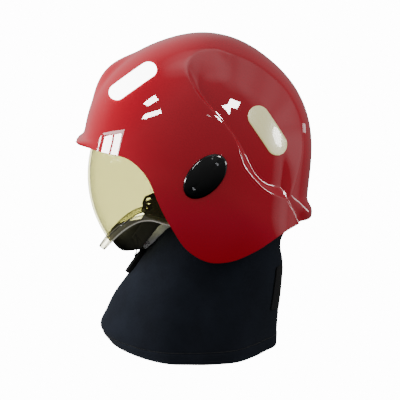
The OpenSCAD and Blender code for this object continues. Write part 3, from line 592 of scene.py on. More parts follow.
def wall_profile(t, comb):
    """Share of the recess that the panel's wall has climbed: sharp at the rib, soft at the comb."""
    t = max(0, min(1, t))
    near = min(t, 1 - t)
    rib = (near - FILLET / 2 if near > FILLET else near * near / (2 * FILLET)) / (1 - FILLET)
    soft = 1.111 * t * t if t < 0.9 else 1 - 10 * (1 - t) ** 2 * 0.9999
    return mix(rib if t < 0.5 else 1 - rib, soft, comb)


COMB_FROM, COMB_TO, COMB_FADE = 14, 210, 30
TAIL_FLARE_RAYS = TAIL_RAYS + 10
BRIM_END_E = 60
ROLL, ROLL_FADE = 0.07, 0.15
RIM_BAND = 0.3


def stand_off(u, ring, e, x, gap):
    """How far a place of the shell stands off the plain dome. Gap is its distance to the rim."""
    phi = ray_phi(u) - corner_phi
    comb = ramp((phi - COMB_FROM) / COMB_FADE) * ramp((COMB_TO - phi) / COMB_FADE)
    off = -RECESS * (1 - wall_profile(ring - 1, comb))
    if e <= BRIM_END_E:
        roll = mix(0.5, 1, sin(radians(90 * gap / ROLL))) if gap < ROLL \
            else ramp(1 - (gap - ROLL) / ROLL_FADE)
        off += BRIM_FLARE * ramp((FLARE_GONE - abs(x)) / (FLARE_GONE - FLARE_FULL)) * roll
    near_rim = ramp(1 - gap / RIM_BAND)
    if u > ALL_RAYS:
        off -= CREASE_STEP * near_rim * ramp(u - ALL_RAYS)
    elif u <= TAIL_FLARE_RAYS:
        off += near_rim * mix(-CREASE_STEP, TAIL_FLARE, ramp(u / TAIL_RAYS))
    return off


def shell_point(u, ring, ends):
    foot, edge, end = ends
    t = foot * ring if ring < 1 else mix(foot, edge, ring - 1) if ring < 2 \
        else mix(edge, end, ring - 2)
    d = panel_mid + t * unit(ray_phi(u))
    middle = ring > 2.9999 and FIRST <= u <= LAST
    e = degrees(atan2(d[1], -d[0])) % 360
    p = dome(e, 1.0 if middle else min(1.0, d.length))
    off = stand_off(u, ring, e, p[0], abs(t - rim_reach(u, end))) + crest(e, p[0])
    p *= 1 + off / p.length
    if middle:
        p[0] = 0
    return p


# %% [markdown]
# Columns are three to a ray, with four across the crease. Rows crowd where the form turns:
# at the foot and the edge of the wall, and at the rolled rim.
# %% Outer shell
columns = [k / 3 for k in range(3 * ALL_RAYS + 1)] + [ALL_RAYS + 0.25 * k for k in (1, 2, 3, 4)]
rows = [3]
for stop, start, count in ((3, 2.86, 12), (2.86, 2.42, 16), (2.42, 2, 12), (2, 1, 14), (1, 0, 14)):
    rows = [mix(start, stop, k / count) for k in range(count)] + rows
ends = [reaches(u) for u in columns]
grid_piece("shell_skin", "red_gloss", ["outer_shell"],
           (len(columns) - 1, len(rows) - 1,
            lambda i, j: shell_point(columns[i], rows[j], ends[i])),
           half=True, slot="red_gloss_shell", crease=70, wall=SHELL_WALL, bevel=1.2, segments=3,
           angle=60)

# %% [markdown]
# The visor is a bent sheet: a grid on a body turned about the pivots, cut between the lower edge
# and the hidden top edge. Each column keeps one distance from the pivot axis, and the rows share
# out the angle between the two edges.
# %% Visor lens
LENS_R = 140
LENS_T = 2.5
LENS_INSET = 8.8
LENS_HALF_W = SHELL_HALF_W - SHELL_WALL - LENS_INSET
LENS_N = 2.5
LENS_LOW = [(-130, -106), (-120, -94), (-112, -84), (-103, -74), (-90.5, -62.6), (-76, -54.4),
            (-63, -52.4), (-52.5, -54.4), (-42, -57.4), (-31, -56), (-20, -42), (-14, -22),
            (-15.2, -12.7)]
LENS_TOP = [Vector((-150, 62)), Vector((-15.2, 12.7))]
low_curve = curve_through(LENS_LOW, 10)


def on_line_at(line, radius):
    """The place on a side-view line at a distance from the pivot axis."""
    for a, b in zip(line, line[1:]):
        near, far = sorted((a.length, b.length))
        if near <= radius <= far:
            return a.lerp(b, (radius - a.length) / ((b.length - a.length) or 1))
    return line[0] if radius > line[0].length else line[-1]


HUB_SHARE = 5.5
LENS_COLUMNS, LENS_ROWS = 64, 40


def lens_point(i, j):
    share = radians(mix(HUB_SHARE, 90, i / LENS_COLUMNS))
    radius = LENS_R * sin(share) ** (2 / LENS_N)
    low, top = (on_line_at(line, radius) for line in (low_curve, LENS_TOP))
    angle = mix(atan2(low[1], -low[0]), atan2(top[1], -top[0]), j / LENS_ROWS)
    return (LENS_HALF_W * abs(cos(share)) ** (2 / LENS_N), -radius * cos(angle),
            radius * sin(angle))


grid_piece("visor_sheet", "amber_clear", ["visor_lens"], (LENS_COLUMNS, LENS_ROWS, lens_point),
           half=True, way=(0, -1, 0), body="visor", wall=LENS_T, bevel=0.6)

# %% [markdown]
# A thick lip runs along the visor's lower edge, where the fingers pull it down, and stands out
# most at the front. Its section is a rounded oblong, closed at both ends.
# %% Visor lip
LIP_T = 8.5
LIP_OUT = (12, 7)
LIP_BEHIND = (1.0, 0.8)
LIP_COLUMNS = 120
LIP_FROM = 24
LIP_SWELL = (30, 14)


def lip_point(i, j):
    """Corner j of the lip's section, in column i of its run from one side to the other."""
    share = mix(LIP_FROM, 180 - LIP_FROM, i / LIP_COLUMNS)
    out = wide = -LENS_T / 2
    if j in (1, 2):
        swell = ramp((min(share, 180 - share) - LIP_SWELL[0]) / LIP_SWELL[1])
        out, wide = (mix(low, high, swell) for low, high in zip(LIP_BEHIND, LIP_OUT))
    a = radians(share)
    radius = (LENS_R + out) * sin(a) ** (2 / LENS_N)
    place, before, after = (on_line_at(low_curve, radius + step) for step in (0, 1.5, -1.5))
    up = (after - before).normalized() * (LIP_T if j in (2, 3) else 0)
    x = (LENS_HALF_W + wide) * copysign(abs(cos(a)) ** (2 / LENS_N), cos(a))
    return (x, place[0] - up[1], place[1] + up[0])


grid_piece("visor_lip", "amber_lip", [], (LIP_COLUMNS, 4, lip_point), holes=6, body="visor",
           slot="amber_clear", bevel=1.6, segments=4)

# %% [markdown]
# The stickers are thin film, oblongs with round ends that bend with the shell. Each is a small
# grid dropped onto the dome, a little above the paint.
# %% Stickers
STICKER_T = 0.6
STICKER_GAP = 0.3
STICKER_GRID = (40, 16)
FRONT_STICKER = ((-82, 111), 35, 64, 20)
REAR_STICKER = ((77.5, 55), -55, 67, 27)


def on_shell(y, z, off):
    """The place on the shell's outside, raised by off, over a place in side view."""
    x = dome_x(y, z)
    p = Vector((x, y, z))
    return p * (1 + (off + crest(degrees(atan2(z, -y)), x)) / p.length)


def mirrored(spot, side):
    return Vector((spot[0] * side, spot[1], spot[2]))


def build_sticker(name, finish, plan, sunk, side, hand):
    middle, tilt, length, width = plan
    half = width / 2

    def place(i, j):
        u = sin(radians(mix(-90, 90, i / STICKER_GRID[0]))) * length / 2
        past = max(0.0, abs(u) - (length / 2 - half))
        v = mix(-half, half, j / STICKER_GRID[1]) * sqrt(max(0.0, 1 - (past / half) ** 2))
        spot = Vector(middle) + unit(tilt) * u + unit(tilt + 90) * v
        return mirrored(on_shell(*spot, STICKER_GAP + STICKER_T - sunk), side)

    grid_piece(f"{name}_film_{hand}", finish, [f"{name}_{hand}"],
               (*STICKER_GRID, place, (length * MM, width * MM)), way=(side, 0, 0),
               wall=STICKER_T)


for side, hand in HANDS:
    build_sticker("front_sticker", "white_reflective", FRONT_STICKER, 0, side, hand)
    build_sticker("rear_sticker", "silver_reflective", REAR_STICKER, RECESS, side, hand)

# %% [markdown]
# An oval plate covers each pivot: a thick glossy moulding with a rounded edge and a slightly
# domed face, held by two small screws. A profile is spun to a disc, then stretched to the oval
# and bent onto the shell.
# %% Cover plates
COVER_LEN = 61
COVER_W = 37
COVER_T = 5.5
COVER_TILT = 46.5
SCREW_REACH = 17.5
SEAT_R = 3.4
SEAT_Z = 3.4
COVER_GAP, COVER_BEND = 0.15, 3


def build_cover(side, hand):
    """Spins a profile of (radius, height), stretches it and turns it onto the pivot axis."""
    w = COVER_W / 2
    profile = [(0, -0.9), (w - 0.6, -0.9), (w - 0.1, -0.4), (w, 0.4), (w, 1.2)]
    profile += [(w - 2.6 * (1 - cos(radians(a))), 1.2 + 2.2 * sin(radians(a)))
                for a in (22, 45, 67, 90)]
    profile += [(w - 4, 3.75), (w - 6, 4.3), (w * 0.45, COVER_T - 0.5), (w * 0.2, COVER_T - 0.08),
                (0, COVER_T)]
    bm = bmesh.new()
    points = [bm.verts.new((r * MM, 0, z * MM)) for r, z in profile]
    edges = [bm.edges.new(pair) for pair in zip(points, points[1:])]
    bmesh.ops.spin(bm, geom=points + edges, cent=(0, 0, 0), axis=(0, 0, 1), dvec=(0, 0, 0),
                   angle=2 * pi, steps=96, use_merge=True, use_duplicate=False)
    merge(bm, 0.005)
    for vertex in bm.verts:
        vertex.co.x *= COVER_LEN / COVER_W
        drop = SHELL_HALF_W - dome_x(vertex.co.xy.length / MM + 0.01, 0)
        vertex.co.z += (SHELL_HALF_W + COVER_GAP - min(drop, COVER_BEND)) * MM
        screw = Vector((copysign(SCREW_REACH, vertex.co.x) * MM, 0))
        if (vertex.co.xy - screw).length < SEAT_R * MM and vertex.co.z > (SHELL_HALF_W + 2) * MM:
            vertex.co.z = (SHELL_HALF_W + SEAT_Z) * MM
    turn = Matrix.Rotation(radians(90), 4, "Y") @ Matrix.Rotation(radians(90 + COVER_TILT), 4, "Z")
    bmesh.ops.transform(bm, matrix=Matrix.Diagonal((side, 1, 1, 1)) @ turn, verts=bm.verts)
    face_out(bm)
    finish_piece(bm, f"cover_plate_{hand}", "black_gloss", [f"side_cover_{hand}"])


for side, hand in HANDS:
    build_cover(side, hand)

# %% [markdown]
# The neck curtain is a skirt of dense aramid cloth, closed at the front and fastened inside the
# shell with press studs. It hangs stiffly, like a bell, with wide soft folds at the sides and
# back and a smooth bib in front. Its form is drawn level by level, and the folds are long waves
# that grow towards the hem.
# %% Curtain form
# At each level: the front's place and the back's in side view, then the half width, the sides'
# height and how far the cloth is lifted between.
CURTAIN = [(-66, -91, 126, -44, 104, -62, 13), (-77, -106, 104, -80, 99, -88, 8),
           (-91, -126, 106, -110, 96, -114, 3), (-107, -148, 104, -140, 97, -140, 0),
           (-117, -168, 101, -165, 100, -166, 0), (-125, -188, 99, -190, 103, -193, 0),
           (-112, -207, 97, -212, 106, -219, 0)]
CURTAIN_T = 2.4
# Bearings from the front: where the smooth bib ends and between which the cloth is lifted.
BIB_END, BIB_FADE = 40, 40
LIFT_FROM, LIFT_RISE, LIFT_TO, LIFT_FALL = 20, 25, 100, 50
# Each wave: how many folds go round, their turn down to the hem, the depth and how it grows.
FOLDS = [(7, 0, 3.2, 1), (3, 140, 1.3, 1), (17, 300, 0.5, 2)]
LEVELS = 12
curtain_curve = curve_through(CURTAIN, LEVELS)
HEM_LEVEL = len(curtain_curve) - 1


def from_front(a):
    return min(a % 360, 360 - a % 360)


def curtain_fold(a, share):
    """The wave of the cloth at a bearing in degrees, share of the way down to the hem."""
    waves = sum(depth * share ** growth * sin(radians(count * a + turn * share))
                for count, turn, depth, growth in FOLDS)
    return waves * mix(0.25, 1, ramp((from_front(a) - BIB_END) / BIB_FADE))


def curtain_place(a, level, off=0.0):
    """A place on the curtain at a bearing from the front, towards the wearer's left."""
    k = min(int(level), HEM_LEVEL - 1)
    front_y, front_z, back_y, back_z, wide, sag, lift = (
        curtain_curve[k].lerp(curtain_curve[k + 1], level - k))
    fold = curtain_fold(a, level / HEM_LEVEL)
    lift *= ramp((from_front(a) - LIFT_FROM) / LIFT_RISE)
    lift *= ramp((LIFT_TO - from_front(a)) / LIFT_FALL)
    turn = radians(a)
    middle_z = mix(back_z, front_z, (1 + cos(turn)) / 2)
    half = (back_y - front_y) / 2
    return Vector(((wide + off + fold) * sin(turn),
                   (front_y + back_y) / 2 - (half + off + fold * 0.6) * cos(turn),
                   mix(middle_z, sag, sin(turn) ** 2) + lift))


# %% [markdown]
# The cloth ends in a folded hem about a finger wide, with one row of stitches. The fold makes
# the edge a little thicker, and the stitches draw in a fine groove above it.
# %% Neck curtain
HEM_TURN = 14
HEM_THICKER = 0.9
GROOVE_DEPTH, GROOVE_W = 0.5, 1.5
CLOTH_COLUMNS = 180
FINE_LEVELS = 5
CLOTH_SIZE = (0.66, 0.17)


def hem_lift(down):
    """How far the cloth stands out near the hem, by the distance above its edge."""
    if down < HEM_TURN - GROOVE_W:
        return HEM_THICKER
    return -GROOVE_DEPTH * max(0.0, 1 - abs(down - HEM_TURN) / GROOVE_W)


cloth_rows = [k / 2 for k in range(2 * (HEM_LEVEL - FINE_LEVELS))]
cloth_rows += [HEM_LEVEL - FINE_LEVELS + k / 5 for k in range(5 * FINE_LEVELS + 1)]
hem_edge = [curtain_place(a * 360 / CLOTH_COLUMNS, HEM_LEVEL) for a in range(CLOTH_COLUMNS + 1)]


def cloth_place(i, j):
    a = i * 360 / CLOTH_COLUMNS
    down = (hem_edge[i] - curtain_place(a, cloth_rows[j])).length
    return curtain_place(a, cloth_rows[j], hem_lift(down))


curtain = grid_piece("curtain_cloth", "navy_cloth", ["neck_curtain"],
                     (CLOTH_COLUMNS, len(cloth_rows) - 1, cloth_place, CLOTH_SIZE),
                     wall=CURTAIN_T, bevel=0.7)

# %% [markdown]
# The stitches are short stubs of thread along the groove: small bars with five sides, so hundreds
# of them stay cheap. The same function sews the ends of the straps later on.
# %% Stitches
def sew(bm, places, normals, thread=0.42):
    """Adds short stubs of thread between neighbouring places, every other gap."""
    for k in range(0, len(places) - 1, 2):
        a, b = places[k], places[k + 1]
        run = b - a
        stub = bmesh.ops.create_cone(bm, cap_ends=True, segments=5, radius1=thread * MM,
                                     radius2=thread * MM, depth=run.length * 1.25 * MM)
        turn = run.to_track_quat("Z", "Y").to_matrix().to_4x4()
        middle = (a + b) / 2 + normals[k] * thread * 0.6
        bmesh.ops.transform(bm, matrix=Matrix.Translation(middle * MM) @ turn,
                            verts=stub["verts"])


HEM_STITCHES = 480
places, normals = [], []
for k in range(HEM_STITCHES):
    a = k * 360 / HEM_STITCHES
    edge = curtain_place(a, HEM_LEVEL)
    level = HEM_LEVEL - 1
    for _ in range(6):  # six steps towards the level where the groove runs
        down = (edge - curtain_place(a, level)).length
        level += (down - HEM_TURN) / max(down, 1) * (HEM_LEVEL - level)
    places.append(curtain_place(a, level, 0.1))
    normals.append(bearing(a, 0))
bm = bmesh.new()
sew(bm, places, normals)
hem_row = finish_piece(bm, "hem_stitches", "black_webbing")

# %% [markdown]
# A patch that lies on the curtain follows the same form, a little further out: the closing flap
# under the chin, and the strip of hook-and-loop tape at the back of the neck.
# %% Curtain flap and strip
PATCH_GRID = 28
PATCH_GAP = 0.2


def curtain_patch(name, node, bearings, levels, thick, corner):
    def place(i, j):
        u, v = 2 * i / PATCH_GRID - 1, 2 * j / PATCH_GRID - 1
        squeeze = 1 - corner * max(0.0, abs(u) - 0.6) ** 2 * 6
        level = mix(*levels, 0.5 + 0.5 * v * squeeze)
        return curtain_place(mix(*bearings, i / PATCH_GRID), level, thick + PATCH_GAP)

    return grid_piece(name, "black_fastener", [node], (PATCH_GRID, PATCH_GRID, place, (0.05, 0.05)),
                      way=bearing(sum(bearings) / 2, 0), wall=thick, bevel=min(0.8, thick * 0.35))


flap = curtain_patch("closing_flap", "curtain_tab", (-13, 13), (0.05 * LEVELS, 1.75 * LEVELS),
                     6.3, 0.5)
tape = curtain_patch("fastening_tape", "curtain_strip", (148, 162), (2 * LEVELS, 4 * LEVELS),
                     1.6, 0.1)

# %% [markdown]
# The harness hangs inside the shell: a chin cup, a strap from it up to a plate in front of the
# ear, and from there one strap back to the shell. A narrower strap runs from the cup round the
# jaw to the nape. A strap is a ribbon along a smooth path, and its face looks away from the head.
# %% Straps
WEB_W = 19
WEB_T = 1.8
SHELL_IN = SHELL_HALF_W - SHELL_WALL
ANCHOR_DEPTH = 6
FACE_TURN = 0.4
SELVAGE = 0.25
STITCH_PITCH = 1.4


def anchor_point(y, z):
    """Where a strap ends inside the shell, over a place in side view."""
    x, away, radius = dome_x(y, z), hypot(y, z), dome_r(degrees(atan2(z, -y)))
    k = (away / radius) ** (DOME_N - 1) / radius / away
    out = Vector(((x / SHELL_HALF_W) ** (DOME_N - 1) / SHELL_HALF_W, k * y, k * z)).normalized()
    return Vector((x, y, z)) - out * (SHELL_WALL + ANCHOR_DEPTH + WEB_T)


CHIN_PATH = [(38, -79, -83), (78.4, -54.6, -46.9)]
TEMPLE_PATH = [(82.6, -46, -33), (87.5, -32, -34), (95, -10, -36), (103.5, 6, -36.5),
               anchor_point(18, -35)]
NAPE_PATH = [(40.3, -70.5, -86), (42, -61, -78), (47, -52, -68.5), (62.5, -41.2, -60.5),
             (75, -14, -55), (91, 20, -54.5), anchor_point(58, -52)]


def frames_along(line, across=None):
    """Along a line: the place, the direction across, and the way the face looks."""
    frames = []
    for before, spot, after in zip(line[:1] + line, line, line[1:] + line[-1:]):
        along = (after - before).normalized()
        if across is None:
            side = along.cross(Vector((spot[0], spot[1] * FACE_TURN, 0))).normalized()
        else:
            side = across
        frames.append((spot, side, side.cross(along)))
    return frames


def run_length(frames):
    return sum((b[0] - a[0]).length for a, b in zip(frames, frames[1:]))


def ribbon(name, finish, node, frames, width, side=LEFT):
    """A woven strap. Its edges are a little thinner than its middle, as selvages are."""
    rows = 8

    def place(i, j):
        spot, across, face = frames[i]
        v = 1 - 2 * j / rows
        out = WEB_T - SELVAGE * abs(v) ** 4
        return mirrored(spot + across * v * width / 2 + face * out, side)

    bm = laid_grid(len(frames) - 1, rows, place, size=(run_length(frames) * MM, width * MM))
    if side == RIGHT:
        bmesh.ops.reverse_faces(bm, faces=bm.faces)
    finish_piece(bm, name, finish, [node], wall=WEB_T - 0.1, bevel=0.45)


def sew_box(bm, frames, width, side):
    """The square of stitches with a cross in it that holds a strap's end."""
    first, last = 1, 7

    def at(i, v):
        spot, across, face = frames[i]
        return mirrored(spot + across * v * width / 2 + face * (WEB_T - 0.05), side)

    a, b, c, d = at(first, -0.75), at(first, 0.75), at(last, 0.75), at(last, -0.75)
    for start, stop in ((a, b), (b, c), (c, d), (d, a), (a, c), (b, d)):
        count = max(4, round((stop - start).length / STITCH_PITCH))
        sew(bm, [start.lerp(stop, k / count) for k in range(count)],
            [mirrored(frames[first][2], side)] * count, 0.35)


thread = bmesh.new()
for side, hand in HANDS:
    for name, path, width, finish in (("chin", CHIN_PATH, WEB_W, "black_webbing"),
                                      ("temple", TEMPLE_PATH, WEB_W, "black_webbing"),
                                      ("nape", NAPE_PATH, WEB_W - 9, "grey_webbing")):
        frames = frames_along(curve_through(path, 30 if len(path) == 2 else 10))
        ribbon(f"{name}_webbing_{hand}", finish, f"{name}_strap_{hand}", frames, width, side)
        sew_box(thread, frames, width, side)
        print(name, hand, "length", round(run_length(frames)), "mm")
finish_piece(thread, "strap_stitches", "black_webbing")

# %% [markdown]
# The chin cup is a soft black moulding that wraps round the chin. It is one curved sheet with a
# thick rolled edge.
# %% Chin cup
CUP_LINE = [(-104, -62, 38), (-112, -70, 42), (-110, -83, 35), (-97, -95, 25), (-79, -91, 19)]
CUP_HALF_W = 34
CUP_T = 3
CUP_STEPS = 8
CUP_COLUMNS = 48
CUP_WRAP = 82
CUP_TAPER = 300
CUP_ROLL, CUP_ROLL_ROWS = 0.5, 2.5
cup_curve = curve_through(CUP_LINE, CUP_STEPS)
cup_last = len(cup_curve) - 1


def cup_place(i, j):
    u = 2 * i / CUP_COLUMNS - 1
    bow = abs(u) ** 2.2
    spot = cup_curve[j]
    a, b = cup_curve[max(0, j - 1)], cup_curve[min(cup_last, j + 1)]
    out = Vector((b[1] - a[1], a[0] - b[0])).normalized()
    out *= CUP_ROLL * max(0, 1 - min(j, cup_last - j) / CUP_ROLL_ROWS)
    narrow = 1 - j / CUP_TAPER
    return (CUP_HALF_W * sin(radians(CUP_WRAP * u)) * narrow,
            spot[0] + spot[2] * bow + out[0], spot[1] + 5 * bow + out[1])


grid_piece("cup_moulding", "chin_cup_rubber", ["chin_cup"], (CUP_COLUMNS, cup_last, cup_place),
           way=(0, -1, 0), wall=CUP_T, bevel=1.1, segments=3)

# %% [markdown]
# A short loop of tape joins the cup to the tab below it.
# %% Loop
LOOP_LINE = [(-79.6, -92.5), (-79.2, -97.2), (-80.5, -99.8), (-82, -101.9)]
LOOP_HALF_W = 6
loop_curve = curve_through(LOOP_LINE, 6)
grid_piece("loop_tape", "black_webbing", ["tab_loop"],
           (6, len(loop_curve) - 1, lambda i, j: (LOOP_HALF_W - 2 * i, *loop_curve[j]),
            (0.006, 0.006)),
           way=(0, -1, 0), wall=1.2, offset=0, bevel=0.3)

# %% [markdown]
# The plate that parts the straps is a rounded triangle with a round hole at its front. Rays from
# the hole's middle find the outline, and rings between hole and outline make the face, so the
# hole's edge can be rounded too.
# %% Strap divider
DIVIDER_MID = (78.6, -63, -36.4)
DIVIDER_TURN = -20
DIVIDER_T = 2.4
DIVIDER_DISCS = [((0, 0), 8), ((4, -6), 3.5), ((-11, 19), 4), ((12, 20), 4)]
HOLE_R = 4.5
DIVIDER_RAYS = 96


def outline_reach(turn):
    """Distance from the hole's middle to the plate's outline, the hull of its four discs."""
    limits = []
    for side_turn in range(0, 360, 3):
        n = unit(side_turn)
        facing = n.dot(unit(turn))
        if facing > 0.02:
            limits.append(max(n.dot(Vector(c)) + r for c, r in DIVIDER_DISCS) / facing)
    return min(limits)


outline = [outline_reach(360 * i / DIVIDER_RAYS) for i in range(DIVIDER_RAYS + 1)]
stand = Matrix.Translation(DIVIDER_MID) @ Matrix.Rotation(radians(DIVIDER_TURN), 4, "Z")
stand = stand @ Matrix.Rotation(radians(90), 4, "Y")


def divider_place(i, j):
    spot = unit(360 * i / DIVIDER_RAYS) * mix(HOLE_R, outline[i], j / 5)
    return stand @ Vector((*spot, DIVIDER_T))


for side, hand in HANDS:
    grid_piece(f"divider_plate_{hand}", "black_plastic", [f"strap_divider_{hand}"],
               (DIVIDER_RAYS, 5, lambda i, j: mirrored(divider_place(i, j), side)),
               way=(side, 0, 0), wall=DIVIDER_T, bevel=0.6, segments=3)

# %% [markdown]
# The liner is thick moulded foam, in four quarters round an open crown. It fills the shell behind
# and is slimmer in front, where the visor slides up between the two. Inside it follows the head,
# with shallow air channels. One grid goes down a quarter's outside, round the lower edge and up
# the inside, and two flat ends close it.
# %% Impact liner
HEAD_HALF = (83, 102, 92)
HEAD_MID = (0, 4, 35)
LINER_HALF_W = 96.65
LINER_FRONT_R = 132
LOW_FRONT, LOW_SIDE, LOW_BACK = 20, 13, 15
LINER_TOP = 81
LINER_PART = 1
LINER_ROWS = 24
LINER_COLUMNS = 36
LINER_GAP = 1.1
HUB_ROOM, HUB_FADE = 36, 16
SLIM_TO_E, SLIM_FADE = 72, 16
CHANNEL_DEPTH, CHANNEL_W = 3.2, 3.6


def head_reach(d):
    """Distance from the origin to the head space, an ellipsoid, along a direction."""
    q = Vector([a / half for a, half in zip(d, HEAD_HALF)])
    c = Vector([-a / half for a, half in zip(HEAD_MID, HEAD_HALF)])
    k, n = q.dot(c), q.dot(q)
    return (-k + sqrt(k * k - n * (c.dot(c) - 1))) / n


def rounded_reach(d, wide, radius):
    share = (abs(d[0]) / wide) ** DOME_N + (hypot(d[1], d[2]) / radius) ** DOME_N
    return share ** (-1 / DOME_N)


def liner_reach(d):
    e = degrees(atan2(d[2], -d[1]))
    slim = rounded_reach(d, LINER_HALF_W, LINER_FRONT_R)
    full = rounded_reach(d, SHELL_IN, dome_r(e) - SHELL_WALL) - RECESS - LINER_GAP
    past_hub = ramp((slim * hypot(d[1], d[2]) - HUB_ROOM) / HUB_FADE)
    return mix(slim, full, ramp((e - SLIM_TO_E) / SLIM_FADE) * past_hub)


def liner_low(a):
    end = LOW_FRONT if a < 90 or a > 270 else LOW_BACK
    return mix(LOW_SIDE, end, cos(radians(a)) ** 2)


def channel(a, rise):
    """Depth of the air channels on the inside, every 60 degrees between the crown straps."""
    off = abs((a + 30) % 60 - 30)
    ends = ramp((rise - 26) / 8) * ramp((78 - rise) / 14)
    return CHANNEL_DEPTH * ramp(1.6 - off / CHANNEL_W) * ends


def build_liner(k, name):
    """The quarter from bearing 90 k to 90 (k + 1), its ends set back from its neighbours."""
    def place(i, j):
        a = 90 * (k + i / LINER_COLUMNS)
        row = j if j <= LINER_ROWS else 2 * LINER_ROWS + 1 - j
        outside = j <= LINER_ROWS or j > 2 * LINER_ROWS + 1
        rise = mix(LINER_TOP, liner_low(a % 360), max(0, row) / LINER_ROWS)
        d = bearing(a, rise)
        back = {0: 1, LINER_COLUMNS: -1}.get(i, 0) * LINER_PART / 2
        reach = liner_reach(d) - 0.3 if outside else head_reach(d) + 0.3 + channel(a, rise)
        return d * reach + bearing(a + 90, 0) * back

    grid_piece(f"liner_foam_{name}", "liner_foam", [f"liner_{name}"],
               (LINER_COLUMNS, 2 * LINER_ROWS + 2, place), holes=0, bevel=2.5, segments=3,
               angle=42)


for k, name in enumerate(("front_left", "back_left", "back_right", "front_right")):
    build_liner(k, name)

# %% [markdown]
# Inside the headband sit two pads, over the brow and at the nape. A pad is a closed pillow: flat
# against the band, crowned towards the head, and thin along its edges and its sewn channels.
# %% Pads
BAND_HALF = (80.1, 96.5)
BAND_H = 30
BAND_T = 1.8
BAND_MID_Y = 4
NAPE_Z, BROW_Z = 12, 45
PAD_T = 4


def band_level(a):
    """Height of the band's middle line: it dips towards the nape."""
    return mix(NAPE_Z, BROW_Z, (1 + cos(radians(a))) / 2)


def band_place(a, off, up):
    """A place by the headband: off it outwards, and up from its middle line."""
    return Vector(((BAND_HALF[0] + off) * sin(radians(a)),
                   BAND_MID_Y - (BAND_HALF[1] + off) * cos(radians(a)), band_level(a) + up))


def build_pad(name, node, bearings, heights, cells):
    columns, rows = cells * 12, 12

    def thickness(u, v):
        edge = (max(0.0, 1 - abs(u) ** 14) * max(0.0, 1 - abs(v) ** 5)) ** 0.5
        seam = abs(((u + 1) / 2 * cells + 0.5) % 1 - 0.5) / 0.16
        sewn = 1 if abs(u) > 1 - 0.7 / cells else ramp(seam)
        return PAD_T * edge * mix(0.3, 1, sewn)

    def place(i, j):
        u = 2 * i / columns - 1
        front = j <= rows
        v = 2 * (j if front else 2 * rows - j) / rows - 1
        off = -BAND_T - 0.2 - (thickness(u, v) if front else 0)
        return band_place(mix(*bearings, i / columns), off, mix(*heights, (v + 1) / 2))

    pad = grid_piece(name, "sweatband", [node], (columns, 2 * rows, place, (0.2, 0.08)), gap=0.02,
                     crease=70)


build_pad("brow_cushion", "brow_pad", (-62, 62), (-BAND_H / 2 - 2, BAND_H / 2 - 0.5), 8)
build_pad("nape_cushion", "nape_pad", (140, 220), (-BAND_H / 2 - 1, BAND_H / 2 - 0.5), 5)

# %% [markdown]
# Three webbing straps cross over the crown, one above another, and keep the head clear of the
# liner. Each is an arc from the headband's upper edge to the edge on the other side.
# %% Crown straps
CROWN_W = 22
CROWN_TOP = 118
ARC_STEPS = 48
crown_half_a = degrees(asin(CROWN_W / 2 / BAND_HALF[0]))


def band_foot(b):
    """The highest level of the band's upper edge under a strap's foot."""
    return max(band_level(b + way * crown_half_a) for way in (-1, 1)) + BAND_H / 2 + 0.3


def crown_frames(k):
    a = radians(30 + 60 * k)
    across = Vector((cos(a), sin(a), 0))
    top = CROWN_TOP + k * (WEB_T + 0.15)
    line = []
    for i in range(ARC_STEPS + 1):
        t = pi * i / ARC_STEPS
        foot = mix(band_foot(210 + 60 * k), band_foot(30 + 60 * k), (1 + cos(t)) / 2)
        line.append(Vector((cos(t) * sin(a) * (BAND_HALF[0] - BAND_T),
                            BAND_MID_Y - cos(t) * cos(a) * (BAND_HALF[1] - BAND_T),
                            foot + max(0.0, sin(t)) ** 1.25 * (top - foot))))
    return frames_along(line, across)


for k, name in enumerate(("crown_tape_right", "crown_tape_side", "crown_tape_left")):
    ribbon(name, "crown_webbing", "crown_straps", crown_frames(k), CROWN_W)

# %% [markdown]
# What is left is turned or moulded and already has its right shape in the frame. Those nodes stay
# and only change their finish, taken from the material slot that the record gives each of them.
# %% Finishes for the frame's own pieces
FINISHES["red_gloss_shell"] = FINISHES["red_gloss"]
kept = []
for part in frame["record"]["subparts"]:
    node = frame["nodes"][part["node"]]
    if not node.hide_render:
        node.data.materials.clear()
        node.data.materials.append(FINISHES[part["material_slot"]])
        kept.append(part["node"])
print("kept from the frame:", ", ".join(kept))

# %% [markdown]
# The room is white, with a window to the front. What the camera sees directly is plain white.
# What lights the colours is an even dim room, a little brighter overhead. What the glossy coat
# mirrors is a third picture of it: dark beside the camera, brighter overhead, behind and on the
# far side. The kind of ray picks one of the three.
# %% The room
BACKDROP = 14.0
ROOM_EVEN, ROOM_RISE = 0.46, 0.27
MIRROR_DARK, MIRROR_RISE = 0.17, 0.3
# Each soft patch is a bearing, a rise, its angle to the edge and to the full part, and a level.
MIRROR_SOFT = [(45, 79, 15, 3, 0.7), (64, 70, 13, 2, 0.7), (90, 72, 13, 2, 0.7),
               (114, 66, 15, 3, 0.8), (136, 54, 14, 2, 0.45), (150, 42, 14, 2, 0.5),
               (163, 29, 15, 2, 0.55), (168, 15, 15, 2, 0.55), (168, 1, 16, 3, 0.7),
               (20, 46, 38, 14, -0.25), (186, -6, 22, 6, 0.4), (-50, 33, 48, 10, 0.5)]
world = bpy.data.worlds.new("white_room")
bpy.context.scene.world = world
world.use_nodes = True
world.node_tree.nodes.clear()
wire = Wire(world.node_tree)
way = wire.node("TexCoord")
above = wire.node("SeparateXYZ", {0: way}, output=2)
mirrored_room = above * MIRROR_RISE + MIRROR_DARK
for turn, rise, wide, full, level in MIRROR_SOFT:
    near = wire.node("VectorMath", {0: way, 1: tuple(bearing(turn, rise))}, output=1,
                     operation="DOT_PRODUCT")
    patch = near.levels((cos(radians(wide)), 0), (cos(radians(full)), 1))
    mirrored_room += patch * level
direct = wire.node("LightPath", output=0)
glossy = wire.node("LightPath", output=3)
lit = (above * ROOM_RISE + ROOM_EVEN) * (1 - glossy) + mirrored_room * glossy
